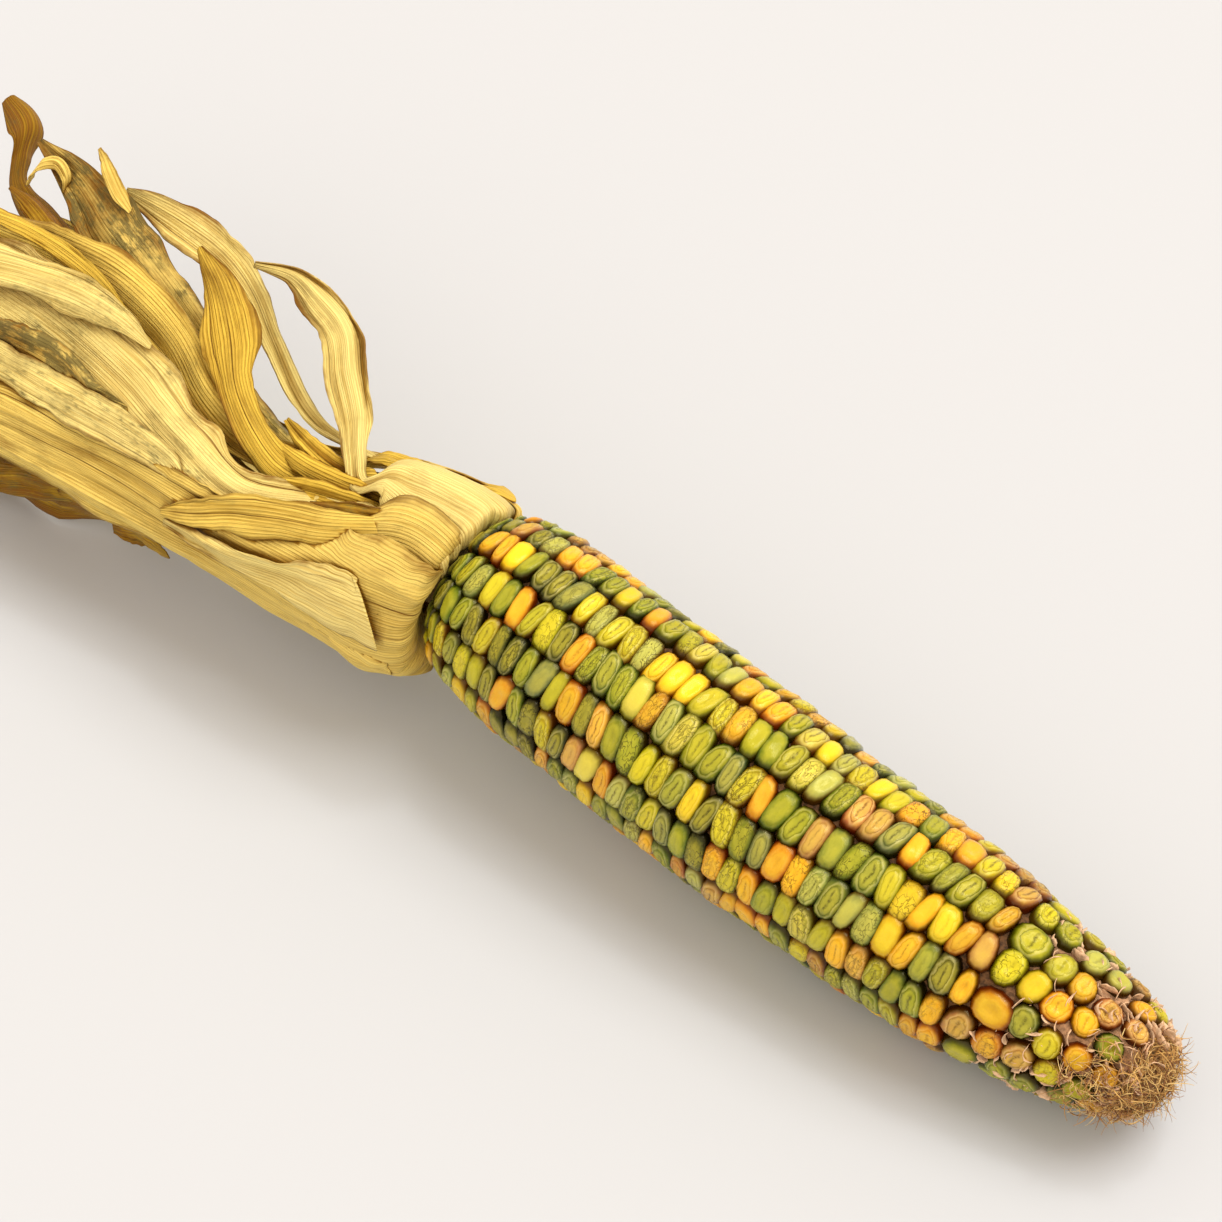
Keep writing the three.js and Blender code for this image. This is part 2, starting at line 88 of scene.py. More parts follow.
KERNEL_SIDES = 12
KERNEL_RINGS = (0.22, 0.46, 0.70, 0.90, 1.0)  # of its crown, as shares of its outline
KERNEL_SKIRT_RING = 1.2  # stands for the skirt, which has the outline's own size
KERNEL_LENGTH = 1.31  # its size along the ear, as a share of its pitch
KERNEL_WIDTH = 1.26  # its size across, as a share of its row's width
CROWN_INSET = 1.7  # how far below the crowns that width is taken
KERNEL_BLUNTNESS = 0.70  # of its outline: 1 is an oval, less is more square
KERNEL_ROUNDNESS = 2.35  # of its crown: 2 is a ball, more is flatter
KERNEL_TAPER = 0.34  # how much longer one of its sides may be than the other
KERNEL_SKEW = 0.34  # how far it may lie aslant in its row
KERNEL_LEAN = 0.20  # how far its crown may slope along the ear
KERNEL_SWING = 0.07  # and how far across it
KERNEL_SHOULDER = 2.7  # crown above the line where the kernel is widest
KERNEL_SKIRT = 1.6  # its side below that line
TIP_START, TIP_FULL = 140, 178  # along the ear, where kernels turn into the tip's round beads
BUTT_FULL, BUTT_END = 4, 22  # along the ear, where kernels lean back over the butt
BEAD_SHOULDER = 3.2  # crown of a bead above its widest line
BEADS_START = 36  # the kernel of a row from which larger beads take over
BEAD_PITCH = 1.34  # their pitch, in kernels
BEAD_STAGGER = 0.35  # how far every other row's beads are shifted, in beads
BEAD_JITTER = 0.24
COB_DEPTH = 3.3  # the cob's own surface below the crowns
COB_COLUMNS = KERNEL_ROWS * 6
COB_RINGS = 170

# Kernel colours in plain red, green and blue: each with its share of the kernels
# near the butt, in the middle and near the tip
KERNEL_COLOURS = [
    ((56, 68, 20), (2.4, 0.6, 0.4)),  # blackish green
    ((92, 118, 2), (3.0, 1.7, 1.8)),  # deep green
    ((150, 154, 0), (2.8, 2.7, 3.0)),  # olive
    ((204, 194, 4), (2.0, 3.2, 1.9)),  # lime
    ((255, 212, 0), (1.5, 2.1, 0.4)),  # bright yellow
    ((250, 172, 0), (2.1, 3.0, 2.1)),  # gold
    ((230, 144, 6), (1.2, 1.6, 1.8)),  # orange
    ((236, 160, 66), (0.3, 1.3, 1.4)),  # peach
    ((192, 86, 46), (0.3, 0.7, 0.7)),  # brick
    ((94, 118, 44), (2.1, 1.4, 1.7)),  # grey green
    ((156, 170, 96), (1.0, 2.1, 1.9)),  # pale grey green
    ((212, 200, 84), (0.3, 0.7, 0.8)),  # cream green
    ((200, 130, 84), (0.3, 1.0, 2.4)),  # pinkish brown
    ((84, 106, 74), (0.8, 0.7, 0.5)),  # slate green
]
SMOOTH_COLOURS = (4, 5, 6)  # kernels of these colours are mostly smooth
COLOUR_PLACES = (0.0, 0.45, 1.0)  # along the ear, where the three shares hold in full
COLOUR_REACH = 0.45  # how far along the ear they hold in part
DARK_TOP = 1.5  # how many more of the two darkest there are along the ear's upper side
DARK_BUTT = 4  # and in the first rings of the butt
DARK_RINGS = 4
COB_TIP_START, COB_TIP_FULL = 158, 180  # along the ear, where the cob changes colour
COB_TIP_COLOUR = (0.62, 0.36, 0.20)
FAR_DARK_SHARE = 0.45  # how dark the specks are in the far colour

# ---- The husk, as in its solids ------------------------------------------------------------

# The root of each layer of leaves, over the fold and back: (along, radius) from the butt
FOLDS = [
    [(-9, 9.3), (-4.2, 12), (-0.9, 16.8), (-2.2, 22.2), (-9.5, 25)],
    [(-16, 9.3), (-11.4, 11), (-7.8, 14.2), (-9.8, 17.8), (-17, 19.6)],
    [(-23, 9.3), (-18.6, 10.1), (-15.8, 11.5), (-17.2, 13.3), (-23, 14.3)],
    [(-9, 9.3), (-4.2, 12), (-0.9, 17.2), (0.9, 24.6), (-7, 29)],
    [(-9, 9.3), (-4.2, 12), (-1, 16.4), (-1.2, 21), (-7, 21)],
    [(-16, 9.3), (-12, 10.7), (-9.2, 12.9), (-10.8, 15.8), (-16.5, 16.8)],
    [(-9, 9.3), (-4.2, 12), (-0.9, 17.2), (0.4, 22.8), (-6.5, 25.4)],
]
LEAF_STATIONS = 20
EDGE_WAVE = 0.10
LEAF_RIPPLE = 0.7

# Each leaf: its finish; its layer, where its root faces and half its spread there, in degrees;
# its pleats and their depth; the share of its length at which it touches down; and its way as
# (along, side, front, half-width, half-angle it wraps through, way it faces), measured from
# the butt and turned about the ear by HUSK_ROLL. The last one has no solid.
Leaf = namedtuple("Leaf", "name finish layer facing spread pleats pleat_depth touches way")

LEAVES = [
    Leaf("husk_leaf_collar_front", "fibrous", 3, -56, 56, 3, 1.0, 0, [
        (-24, -25, 15.5, 23.5, 58, -50), (-50.5, -28, 15, 15.5, 42, -48),
        (-88, -31.5, 13.5, 10.5, 22, -38), (-125, -36.5, 12, 9.5, 16, -32),
        (-160, -41.5, 8, 7, 12, -30), (-186, -44, 2, 1.5, 8, -30)]),
    Leaf("husk_leaf_collar_top", "pale", 4, 42, 46, 2, 0.7, 0, [
        (-16, 12.2, 15.4, 14.5, 42, 38), (-23.5, 10.5, 15.8, 8.5, 30, 38),
        (-29, 5, 15, 3, 12, 38), (-36, 10, 12.5, 2.8, 8, 30), (-43.5, 17, 9, 4.2, 6, 20),
        (-52, 24, 8, 5, 4, 12), (-59.5, 31, 7, 5.4, 0, 10), (-70, 34, 6, 4.2, 0, 6),
        (-79.5, 35.5, 4.5, 2.4, 0, 3), (-90.5, 32.5, 3, 0.8, 0, 0)]),
    Leaf("husk_leaf_prop_back", "pale", 0, 180, 46, 3, 0.8, 0.62, [
        (-25, -4, -24.8, 16, 42, 184), (-55, -7, -32.5, 11, 28, 180), (-90, -9, -42, 10, 12, 180),
        (-122, -8, -51.5, 9, 6, 180), (-145, -7, -54, 6.5, 4, 178), (-166, -6, -53, 1.2, 0, 176)]),
    Leaf("husk_leaf_wide_pale", "dusty", 1, -6, 17, 2, 0.8, 0, [
        (-29, -4, 16.8, 5.4, 16, -6), (-51, -14.5, 18.5, 7.4, 16, 0),
        (-73.5, -12.5, 17.5, 9, 10, -4), (-96.5, -8.5, 17, 11.5, 10, -6),
        (-123.5, -7, 16, 11.5, 12, -8), (-153.5, -9, 12, 8, 10, -12),
        (-176.5, -12.5, 8, 1.2, 0, -15)]),
    Leaf("husk_leaf_ribbon", "pale", 5, 90, 26, 1, 0.5, 0, [
        (-26, 15.9, -1.4, 4, 14, 88), (-39, 11.8, -0.6, 3.4, 12, 80), (-56, 11, 1, 2.8, 8, 40),
        (-76, 20, 0, 2.8, 4, 25), (-88.5, 26.5, -1, 3.6, 4, 15), (-101, 30, -2, 5.4, 4, 10),
        (-116, 30.5, -3, 5.6, 4, 5), (-134.5, 29, -5, 0.8, 0, 0)]),
    Leaf("husk_leaf_back_low", "pale", 1, 170, 30, 2, 0.7, 0, [
        (-30, -6, -16.5, 9, 30, 176), (-52, -14, -17, 8.4, 22, 184),
        (-84, -18, -18, 8.4, 12, 188), (-120, -21, -21, 8, 8, 192), (-152, -24, -24, 5.5, 4, 192),
        (-176, -26, -25, 1.2, 0, 192)]),
    Leaf("husk_leaf_brown_under", "brown", 1, -120, 26, 2, 0.6, 0.72, [
        (-32, -23, -9, 7.2, 24, -116), (-53.5, -31.5, -9.5, 7, 20, -108),
        (-80.5, -38, -15, 8.5, 12, -88), (-103.5, -43, -21, 9.5, 8, -72),
        (-125, -46, -25.5, 8.5, 6, -66), (-147, -47.5, -28, 6, 4, -62),
        (-167.5, -47.5, -28, 1.2, 0, -60)]),
    Leaf("husk_leaf_long_pale", "pale", 1, -55, 26, 2, 0.6, 0, [
        (-30, -16, 10.4, 6.2, 24, -50), (-51.5, -19, 9.5, 6.5, 18, -28),
        (-75.5, -23, 9, 6.6, 10, -20), (-101, -24.5, 9, 7.5, 8, -18), (-132, -26, 8, 7, 6, -20),
        (-158.5, -29, 5, 4.6, 4, -22), (-180.5, -32, 1, 1, 0, -22)]),
    Leaf("husk_leaf_golden", "golden", 2, 22, 22, 1, 0.8, 0, [
        (-36, 0.5, 10.6, 4, 16, 12), (-49, -3, 12.2, 4.4, 12, 12), (-60, 0, 13, 4, 10, 8),
        (-70, 6, 14.5, 4.8, 12, 6), (-78.5, 14.5, 15, 6.6, 12, 6), (-89.5, 23, 14, 4.8, 8, 6),
        (-100.5, 28, 12, 0.8, 0, 6)]),
    Leaf("husk_leaf_yellow_long", "yellow", 2, 72, 20, 2, 0.6, 0, [
        (-31, 8, 4.4, 3.9, 18, 56), (-44, 3, 5.8, 4.2, 14, 36), (-60, -3, 8, 4.8, 10, 16),
        (-76.5, -0.5, 10, 5.6, 8, 8), (-93, 6.5, 10, 6.4, 8, 4), (-113.5, 9.5, 9.5, 7, 8, 0),
        (-133, 7.5, 8, 6, 6, 0), (-155, 3, 5, 3.6, 4, 0), (-172, 0.5, 2, 0.8, 0, 0)]),
    Leaf("husk_leaf_grey_spotted", "mildewed", 2, 123, 22, 2, 0.6, 0, [
        (-29.5, 9.5, -7.8, 4.8, 24, 116), (-42, 3.5, -2.5, 4.8, 16, 70),
        (-57, 0.6, 2.4, 4.8, 12, 32), (-82, 7, 4, 5.4, 8, 20), (-105.5, 13.5, 3, 7.2, 6, 12),
        (-128, 19, 1.5, 8.2, 8, 6), (-144, 24, 0, 4.8, 6, 2), (-160.5, 26.5, -2, 0.8, 0, 0)]),
    Leaf("husk_leaf_curled_tip", "brown", 2, 184, 26, 2, 0.5, 0, [
        (-31, -1.5, -11.6, 5.4, 24, 178), (-43, -4, -9.5, 5, 16, 150),
        (-58, -6, -6.5, 5, 12, 110), (-84, 1, -5, 5.4, 10, 60), (-110, 5, -5.5, 5.4, 10, 30),
        (-133.5, 8, -6.5, 4.6, 12, 20), (-151, 11.5, -7, 3.6, 14, 20),
        (-161, 15, -6.5, 2.4, 16, 22), (-164.5, 20.5, -6, 3, 24, 24),
        (-167.5, 27, -5, 5.2, 36, 30), (-176.5, 30.5, -5, 1.6, 20, 30)]),
    Leaf("husk_leaf_inner_shaded", "mildewed", 2, -37, 23, 2, 0.7, 0, [
        (-38, -8.6, 6.4, 5.2, 18, -28), (-56, -12.5, 5.6, 5.2, 12, -14),
        (-79, -12, 7.5, 7.5, 8, -8), (-102, -14, 7, 9, 8, -6), (-125.5, -17, 5, 8.5, 10, -6),
        (-150, -20.5, 2, 5.5, 6, -8), (-168.5, -23, -2, 1, 0, -10)]),
    Leaf("husk_leaf_low_pale", "fibrous", 2, -106, 28, 2, 0.6, 0, [
        (-38, -16, -0.5, 5.6, 18, -86), (-56, -22.5, 1.5, 5.6, 12, -66),
        (-83, -28.5, 0.5, 6.2, 8, -44), (-116.5, -33, -0.5, 6.2, 6, -38),
        (-146, -36.5, -2, 5, 4, -34), (-172, -39, -5, 1, 0, -32)]),
    Leaf("husk_leaf_back_high", "yellow", 4, 110, 19, 1, 0.3, 0, [
        (-17, 18.7, -6.8, 5.4, 17, 110), (-28, 16.2, -10, 3.8, 14, 116),
        (-41, 11, -12.4, 3, 12, 124), (-60, 2, -13, 4, 12, 132), (-84, 3, -14, 5.2, 10, 138),
        (-110, 9, -15.5, 5.6, 8, 140), (-136, 13, -17, 4.2, 4, 140), (-156, 13, -18, 0.8, 0, 140)]),
    Leaf("collar_middle", "fibrous", 6, -8, 32, 2, 0.4, 0, [
        (-20, -9.5, 22.6, 9, 24, -12), (-34, -14, 20.6, 7, 20, -14), (-48, -18, 18.6, 5, 18, -16),
        (-64, -21, 16, 0.8, 10, -18)]),
]

# Loose strips and flaps that the solids leave out: name, finish and way
LOOSE_LEAVES = [
    ("front_panel", "pale", [
        (-4, -19, 23.6, 8.4, 20, -42), (-13, -20.5, 22.4, 8.4, 20, -42),
        (-25, -22.5, 20, 6.4, 18, -41), (-44, -26.5, 17.6, 3.6, 14, -44),
        (-64, -29.5, 16, 0.8, 8, -45)]),
    ("neck_sheet", "yellow", [
        (-11, 2, 23.8, 1.4, 20, 4), (-26, -8, 25.4, 4.8, 34, -10), (-37, -13, 25, 5.2, 36, -18),
        (-48, -18.5, 23, 5.4, 36, -26), (-57, -24, 20.2, 4, 30, -34), (-66, -28, 16.5, 0.8, 12, -40)]),
    ("shaded_blade", "mildewed", [
        (-88, -13.5, 17.5, 0.8, 10, -14), (-97, -15.5, 18.8, 3.6, 14, -14),
        (-109, -14.5, 19.4, 5, 14, -14), (-122, -16, 19, 4.6, 12, -16), (-137, -18.5, 15, 1, 8, -18)]),
    # a brown strip that stands for the dark hollow under the neck sheet: painted shade
    ("neck_shade_strip", "brown", [
        (-9, 6.5, 21, 0.5, 16, 5), (-16, 3, 22.6, 1.3, 20, 2), (-25, -1.4, 23, 1.7, 20, -4),
        (-34, -5.5, 21.6, 0.6, 16, -8)]),
    ("tongue_blade", "dusty", [
        (-63, -20, 18.2, 0.6, 10, -18), (-71, -18, 20, 3.4, 14, -14), (-87, -18.5, 19.4, 4.6, 14, -14),
        (-105, -20.5, 18.4, 5, 12, -16), (-124, -22.5, 16, 4.4, 10, -20), (-146, -25, 11, 1, 8, -22)]),
    ("lower_frill", "fibrous", [
        (1, -26.5, 5, 1.2, 24, -78), (-3, -27, 7, 5, 44, -74), (-9, -27.6, 9, 6.6, 46, -70),
        (-18, -27.4, 9.8, 5, 40, -66), (-31, -28.2, 8, 1, 10, -60)]),
    ("back_flap", "golden", [
        (-4, 24, -4.5, 2.6, 12, 74), (-8, 23.4, -2, 3.4, 24, 70), (-16, 20.4, 1, 4, 28, 66),
        (-25, 17.4, 2.5, 4, 26, 62), (-33, 14.4, 2.5, 3, 20, 60), (-38.5, 10, 1, 0.8, 10, 60)]),
    ("crumple_low", "golden", [
        (-12, 4, 14, 1.2, 20, 10), (-21.5, 1.5, 17, 3.4, 46, 6), (-31.5, -1.5, 18, 3.6, 50, 0),
        (-41.5, -5, 17.5, 3, 40, -4), (-52, -9, 15, 0.8, 14, -6)]),
    ("crumple_middle", "golden", [
        (-19, 6, 12, 1.2, 20, 20), (-26.5, 4.5, 15, 3, 46, 16), (-35, 2.5, 15.5, 3.2, 50, 10),
        (-45, 1, 14, 2.6, 40, 6), (-55, 1, 12, 0.8, 14, 4)]),
    ("crumple_high", "golden", [
        (-30.5, 9, 7, 1, 16, 36), (-34, 6, 11, 2.8, 44, 30), (-41, 5, 12, 3, 46, 22),
        (-49, 5.5, 11, 2.4, 36, 16), (-57, 7, 9, 0.8, 12, 10)]),
    ("folded_blade", "dusty", [
        (-92.5, 2, 18, 0.8, 10, 0), (-103, 3, 19, 3.2, 14, 0), (-116, 2, 19.5, 5.2, 16, 0),
        (-131, -2, 19.5, 5.4, 16, 0), (-148, -8, 17, 4.6, 14, 0), (-166.5, -14, 12, 1, 8, 0)]),
    ("upper_strip", "golden", [
        (-106, 5, 12, 0.8, 8, 10), (-118, 7.5, 13.5, 2.2, 14, 10), (-130.5, 8, 14, 2.6, 16, 10),
        (-143.5, 6.5, 14, 2.4, 16, 10), (-157, 3.5, 12, 1.8, 10, 10), (-171.5, 0, 9, 0.6, 8, 10)]),
    ("dark_strip", "brown", [
        (-119, 2.5, -1, 0.8, 8, 20), (-131.5, 7, 1, 3, 16, 20), (-142.5, 10.5, 2, 3.2, 20, 20),
        (-151, 12.5, 1, 2.6, 20, 20), (-158.5, 13, 0, 0.8, 10, 20)]),
    ("curl_strip", "fibrous", [
        (-146, 19.5, -1, 0.5, 8, 10), (-147, 23, 1, 1.4, 30, 10), (-150.5, 24.5, 2, 1.6, 40, 10),
        (-153.5, 22.5, 2, 1.6, 40, 10), (-155, 19, 1, 1.4, 30, 10), (-155, 15.5, 0, 0.5, 8, 10)]),
    ("small_tip", "fibrous", [
        (-126, 25.5, 3, 0.8, 10, 10), (-131.5, 27.5, 4, 1.8, 18, 10), (-136, 30, 4.5, 1.6, 20, 10),
        (-139.5, 32, 4, 1.2, 16, 10), (-143, 33.5, 3, 0.4, 8, 10)]),
    ("torn_end", "brown", [
        (-68, -36.5, -6, 1.4, 14, -66), (-73.5, -37.5, -5, 4.6, 36, -64),
        (-79, -38.5, -5.5, 4.8, 38, -62), (-85, -39.5, -7.5, 1.6, 20, -60)]),
    ("brown_edge", "brown", [
        (-90.5, -37, -14, 1, 10, -60), (-101.5, -39, -12.5, 4.6, 26, -56),
        (-112.5, -43.5, -12, 5.6, 34, -54), (-123, -49, -13.5, 4.6, 34, -54),
        (-134, -53, -16, 1.2, 16, -54)]),
]

LEAF_ROWS = 180  # lines of points along a leaf
LOOSE_ROWS = 70
LOOSE_PLEATS = 2
LOOSE_PLEAT_DEPTH = 0.4
COLUMN_WIDTH = 0.65  # between the lines of points across a leaf
COLUMNS = (16, 56)  # the fewest and the most of those lines
FOLD_SIZES = ((8.5, 1.8, 48, 90), (3.1, 0.60, 26, 190))  # spacing, height, length and seed
BUCKLES = 4
HEADING_STEP = 0.0005  # of a leaf's length, over which its heading is taken
PATTERN_UNIT = 10  # the pattern of fibres is laid out in centimetres
LIP_REACH = 1.8  # how far the lips reach beyond those of the solids
LIP_LENGTH = 4.5
TOUCH_GAP = 0.02  # between the floor and a leaf that touches down
SHADE_REACH = 9.0  # how near another leaf stands to darken a point with painted shade
SHADE_START = 0.12  # how far off a leaf's skin the search for leaves that cast painted shade starts
SHADE_RAYS = [(x, y, z) for x in (-0.55, 0.55) for y in (-0.55, 0.55) for z in (-0.55, 0.55)]

# Each finish of the husk: its material and slot, and how aged, spotted, golden and ribbed it is
FINISHES = {
    "pale": ("Pale Husk", "husk_leaf", -0.06, 0.25, 0.0, 0.40),
    "dusty": ("Dusty Husk", "husk_leaf", -0.08, 0.8, 0.0, 0.30),
    "fibrous": ("Fibrous Husk", "husk_leaf", 0.08, 0.3, 0.38, 0.40),
    "yellow": ("Yellow Husk", "husk_leaf", 0.10, 0.4, 0.52, 0.50),
    "golden": ("Golden Husk", "husk_golden", 0.12, 0.2, 0.72, 0.55),
    "brown": ("Brown Husk", "husk_brown", 1.15, 0.9, 0.9, 0.40),
    "mildewed": ("Mildewed Husk", "husk_spotted", 0.46, 3.8, 0.34, 0.35),
}

STEM_RADIUS = 7.9
STEM_LENGTH = 30.8
STEM_START = -0.8
STEM_RIDGES = 11
STEM_COLOUR = (0.42, 0.28, 0.10)

# ---- The silk and the chaff ----------------------------------------------------------------

SILK_BASE = 195.5
SILK_LENGTH = 8.0
SILK_RADIUS = 11.0
SILK_SIZE = np.array([SILK_LENGTH, SILK_RADIUS, SILK_RADIUS])
SILK_CORE = 0.80  # of the tuft's size, for its matted middle
SILK_STRANDS = 1100
SILK_STRAYS = 260  # threads that lie over the lower front of the tip
SILK_SEGMENTS = 7
SILK_SIDES = 3
STRAY_START = 183  # how far along the ear those threads start
STRAY_STRETCH = 16
STRAY_TURN = 215  # the way they face about the ear, in degrees
SILK_COLOURS = [(106, 58, 34), (172, 124, 62), (216, 174, 100), (244, 218, 150)]  # dark to pale
CHAFF_FLAKES = 330
CHAFF_START = 163  # how far along the ear the papery chaff starts to show
CHAFF_END = 198
CHAFF_ROWS = 3
CHAFF_COLUMNS = 4
CHAFF_ROOT = 2.8  # below the crowns
CHAFF_THICKNESS = 0.12
CHAFF_COLOUR = (0.88, 0.60, 0.38)

# ---- Stage ---------------------------------------------------------------------------------

VIEW_AZIMUTH = math.radians(39.73)
VIEW_ELEVATION = math.radians(50.3)
VIEW_DISTANCE = 0.9
VIEW_CENTRE = Vector((-0.0866, 0.0022, 0.0585))
LENS = 117.2
SENSOR = 36.0
FLOOR_SIZE = 6
# Each light: its direction, its share of the key's strength, its spread in degrees, its colour
LIGHTS = {
    "key_light": ((0.30, 0.42, 1.05), 1.0, 40, (1.0, 0.96, 0.89)),
    "fill_light": ((0.25, -1.0, 0.9), 0.26, 60, (1.0, 0.95, 0.86)),
    "glint_light": ((-0.10, 0.40, 1.0), 0.20, 8, (1.0, 0.97, 0.92)),
}


# ---- Settings ------------------------------------------------------------------------------

class CORN_PG_ear(bpy.types.PropertyGroup):
    """Sizes and colours of the ear"""

    dent_depth: bpy.props.FloatProperty(
        name="Dent Depth", description="How deep a kernel's crown is dented",
        default=0.6 * MM, unit="LENGTH", precision=5)
    valley_colour: bpy.props.FloatVectorProperty(
        name="Cob", description="Colour of the cob between the rows", subtype="COLOR",
        size=3, default=(0.16, 0.07, 0.02))
    silk_colour: bpy.props.FloatVectorProperty(
        name="Silk", description="Colour of the dried silk", subtype="COLOR",
        size=3, default=(0.46, 0.27, 0.10))


class CORN_PG_husk(bpy.types.PropertyGroup):
    """Sizes and colours of the husk"""

    thickness: bpy.props.FloatProperty(
        name="Leaf Thickness", description="Thickness of a dried husk leaf",
        default=0.35 * MM, unit="LENGTH", precision=5)
    pale_colour: bpy.props.FloatVectorProperty(
        name="Pale", description="Colour of a clean dry leaf", subtype="COLOR",
        size=3, default=(0.97, 0.83, 0.31))
    golden_colour: bpy.props.FloatVectorProperty(
        name="Golden", description="Colour of a warmer leaf", subtype="COLOR",
        size=3, default=(0.84, 0.54, 0.0))
    straw_colour: bpy.props.FloatVectorProperty(
        name="Straw", description="Colour of a leaf's darker veins", subtype="COLOR",
        size=3, default=(0.43, 0.235, 0.006))
    brown_colour: bpy.props.FloatVectorProperty(
        name="Brown", description="Colour of an aged leaf", subtype="COLOR",
        size=3, default=(0.20, 0.078, 0.005))
    mildew_colour: bpy.props.FloatVectorProperty(
        name="Mildew", description="Colour of the mildew spots", subtype="COLOR",
        size=3, default=(0.125, 0.105, 0.035))


class CORN_PG_stage(bpy.types.PropertyGroup):
    """Floor and light"""

    floor_colour: bpy.props.FloatVectorProperty(
        name="Floor", description="Colour of the studio floor", subtype="COLOR",
        size=3, default=(0.530, 0.578, 0.655))
    key_strength: bpy.props.FloatProperty(
        name="Key Light", description="Strength of the large soft light", default=1.80)
    ambient_colour: bpy.props.FloatVectorProperty(
        name="Ambient", description="Colour of the light from all around", subtype="COLOR",
        size=3, default=(1.02, 0.83, 0.64))


# ---- Seeded draws and smooth noise ---------------------------------------------------------

def draw(a, b):
    """A repeatable draw from 0 to 1 for each pair of whole numbers"""
    wave = np.sin(np.asarray(a) * 127.1 + np.asarray(b) * 311.7 + 17.3) * 43758.5453
    return wave - np.floor(wave)


def draws(number, first, count):
    """A list of repeatable draws for one thread or flake"""
    return [draw(number, first + index) for index in range(count)]


def linear(colour):
    """A plain 0 to 255 colour as the linear one that materials use"""
    share = np.array(colour, float) / 255
    return np.where(share < 0.04, share / 12.92, ((share + 0.055) / 1.055) ** 2.4)


def ease(share):
    """Turns an even rise from 0 to 1 into a smooth one"""
    return share * share * (3 - 2 * share)


def smoothstep(value, low, high):
    """Rises smoothly from 0 at low to 1 at high"""
    return ease(np.clip((np.asarray(value, float) - low) / (high - low), 0, 1))


def value_noise(x, seed):
    """Smooth noise from -1 to 1 along a line, with a bend at every whole number"""
    x = np.asarray(x, float)
    cell = np.floor(x)
    share = ease(x - cell)
    return (draw(cell, seed) * (1 - share) + draw(cell + 1, seed) * share) * 2 - 1


def patch_noise(x, y, seed):
    """Smooth noise from -1 to 1 over a plane"""
    cell = np.floor(y)
    share = ease(y - cell)
    low = value_noise(x + 13.7 * draw(cell, seed + 1) * 10, seed)
    high = value_noise(x + 13.7 * draw(cell + 1, seed + 1) * 10, seed)
    return low * (1 - share) + high * share


def unit(vector):
    return vector / np.linalg.norm(vector)


def unit_rows(vectors):
    return vectors / np.linalg.norm(vectors, axis=1, keepdims=True)


def running_length(points):
    """How far along a line of points each one lies"""
    steps = np.linalg.norm(np.diff(points, axis=0), axis=1)
    return np.concatenate([[0], np.cumsum(steps)])


# ---- The ear's surface ---------------------------------------------------------------------

def profile_table():
    """Points of the smooth crown profile and how far along it each one lies"""
    points = np.array(CROWN_PROFILE, float)
    count = len(points)
    samples = []
    for t in np.linspace(0, 1, PROFILE_SAMPLES):
        place = (count - 1) * t
        index = min(int(place), count - 2)
        weight = place - index
        p1 = points[index]
        p2 = points[index + 1]
        p0 = points[max(index - 1, 0)]
        p3 = points[min(index + 2, count - 1)]
        v0 = (p2 - p0) / 2
        v1 = (p3 - p1) / 2
        samples.append((2 * p1 - 2 * p2 + v0 + v1) * weight ** 3
                       + (-3 * p1 + 3 * p2 - 2 * v0 - v1) * weight ** 2 + v0 * weight + p1)
    return np.array(samples), running_length(samples)


PROFILE_POINTS, PROFILE_LENGTHS = profile_table()
PROFILE_TOTAL = PROFILE_LENGTHS[-1]
NORMAL_STEP = 0.4  # half the stretch of profile over which its slope is taken


def read_profile(length):
    """Along and radius of the crown profile at lengths along it"""
    along, radius = (np.interp(length, PROFILE_LENGTHS, column) for column in PROFILE_POINTS.T)
    return along, radius


def profile_at(share):
    """Along, radius and outward normal of the crown profile at shares of its length"""
    length = np.clip(share, 0, 1) * PROFILE_TOTAL
    along, radius = read_profile(length)
    ahead = read_profile(np.minimum(length + NORMAL_STEP, PROFILE_TOTAL))
    behind = read_profile(np.maximum(length - NORMAL_STEP, 0))
    d_along = ahead[0] - behind[0]
    d_radius = ahead[1] - behind[1]
    size = np.hypot(d_along, d_radius)
    return along, radius, -d_radius / size, d_along / size


def share_along(along):
    """About which share of the profile lies at a distance along the ear"""
    first = CROWN_PROFILE[0][0]
    return (along - first) / (CROWN_PROFILE[-1][0] - first)


def bow_at(along):
    """How far the bowed axis stands off at a distance along the ear"""
    return BOW_RISE * ((along - BOW_MIDDLE) / BOW_REACH) ** 2


SILK_CENTRE = np.array([SILK_BASE, bow_at(SILK_BASE), 0])


def row_angle(row, along):
    """The middle of a row, in radians from straight below; the bottom row runs straight"""
    strays = np.where(np.asarray(row) == 0, 0, ROW_WANDER)
    wave = np.sin(2 * math.pi * (along / WANDER_LENGTH + draw(row, 1)))
    return 2 * math.pi * np.asarray(row) / KERNEL_ROWS + strays * wave


def place_share(row, place, seam=None):
    """How far along the profile, as a share, a place of a row lies; a seam has its own jitter"""
    seam = place if seam is None else seam
    from_end = np.minimum(place, KERNELS_PER_ROW - place)
    stagger = ROW_STAGGER * (draw(row, 2) - 0.5) * smoothstep(from_end, 0, EVEN_ENDS)
    inside = (place > 0) & (place < KERNELS_PER_ROW)
    jitter = np.where(inside, SEAM_JITTER * (draw(row, 10 + seam) - 0.5), 0)
    share = (place + stagger + jitter) / KERNELS_PER_ROW
    return share * (1 + PITCH_GROWTH * (share - 1))


def round_axis(along, radius, angle):
    """Points of the ear at a distance from its bowed axis"""
    bow = bow_at(along)
    side = radius * np.sin(angle) + bow * math.cos(HUSK_ROLL)
    height = -radius * np.cos(angle) + bow * math.sin(HUSK_ROLL)
    return np.stack([along, side, height], axis=-1)


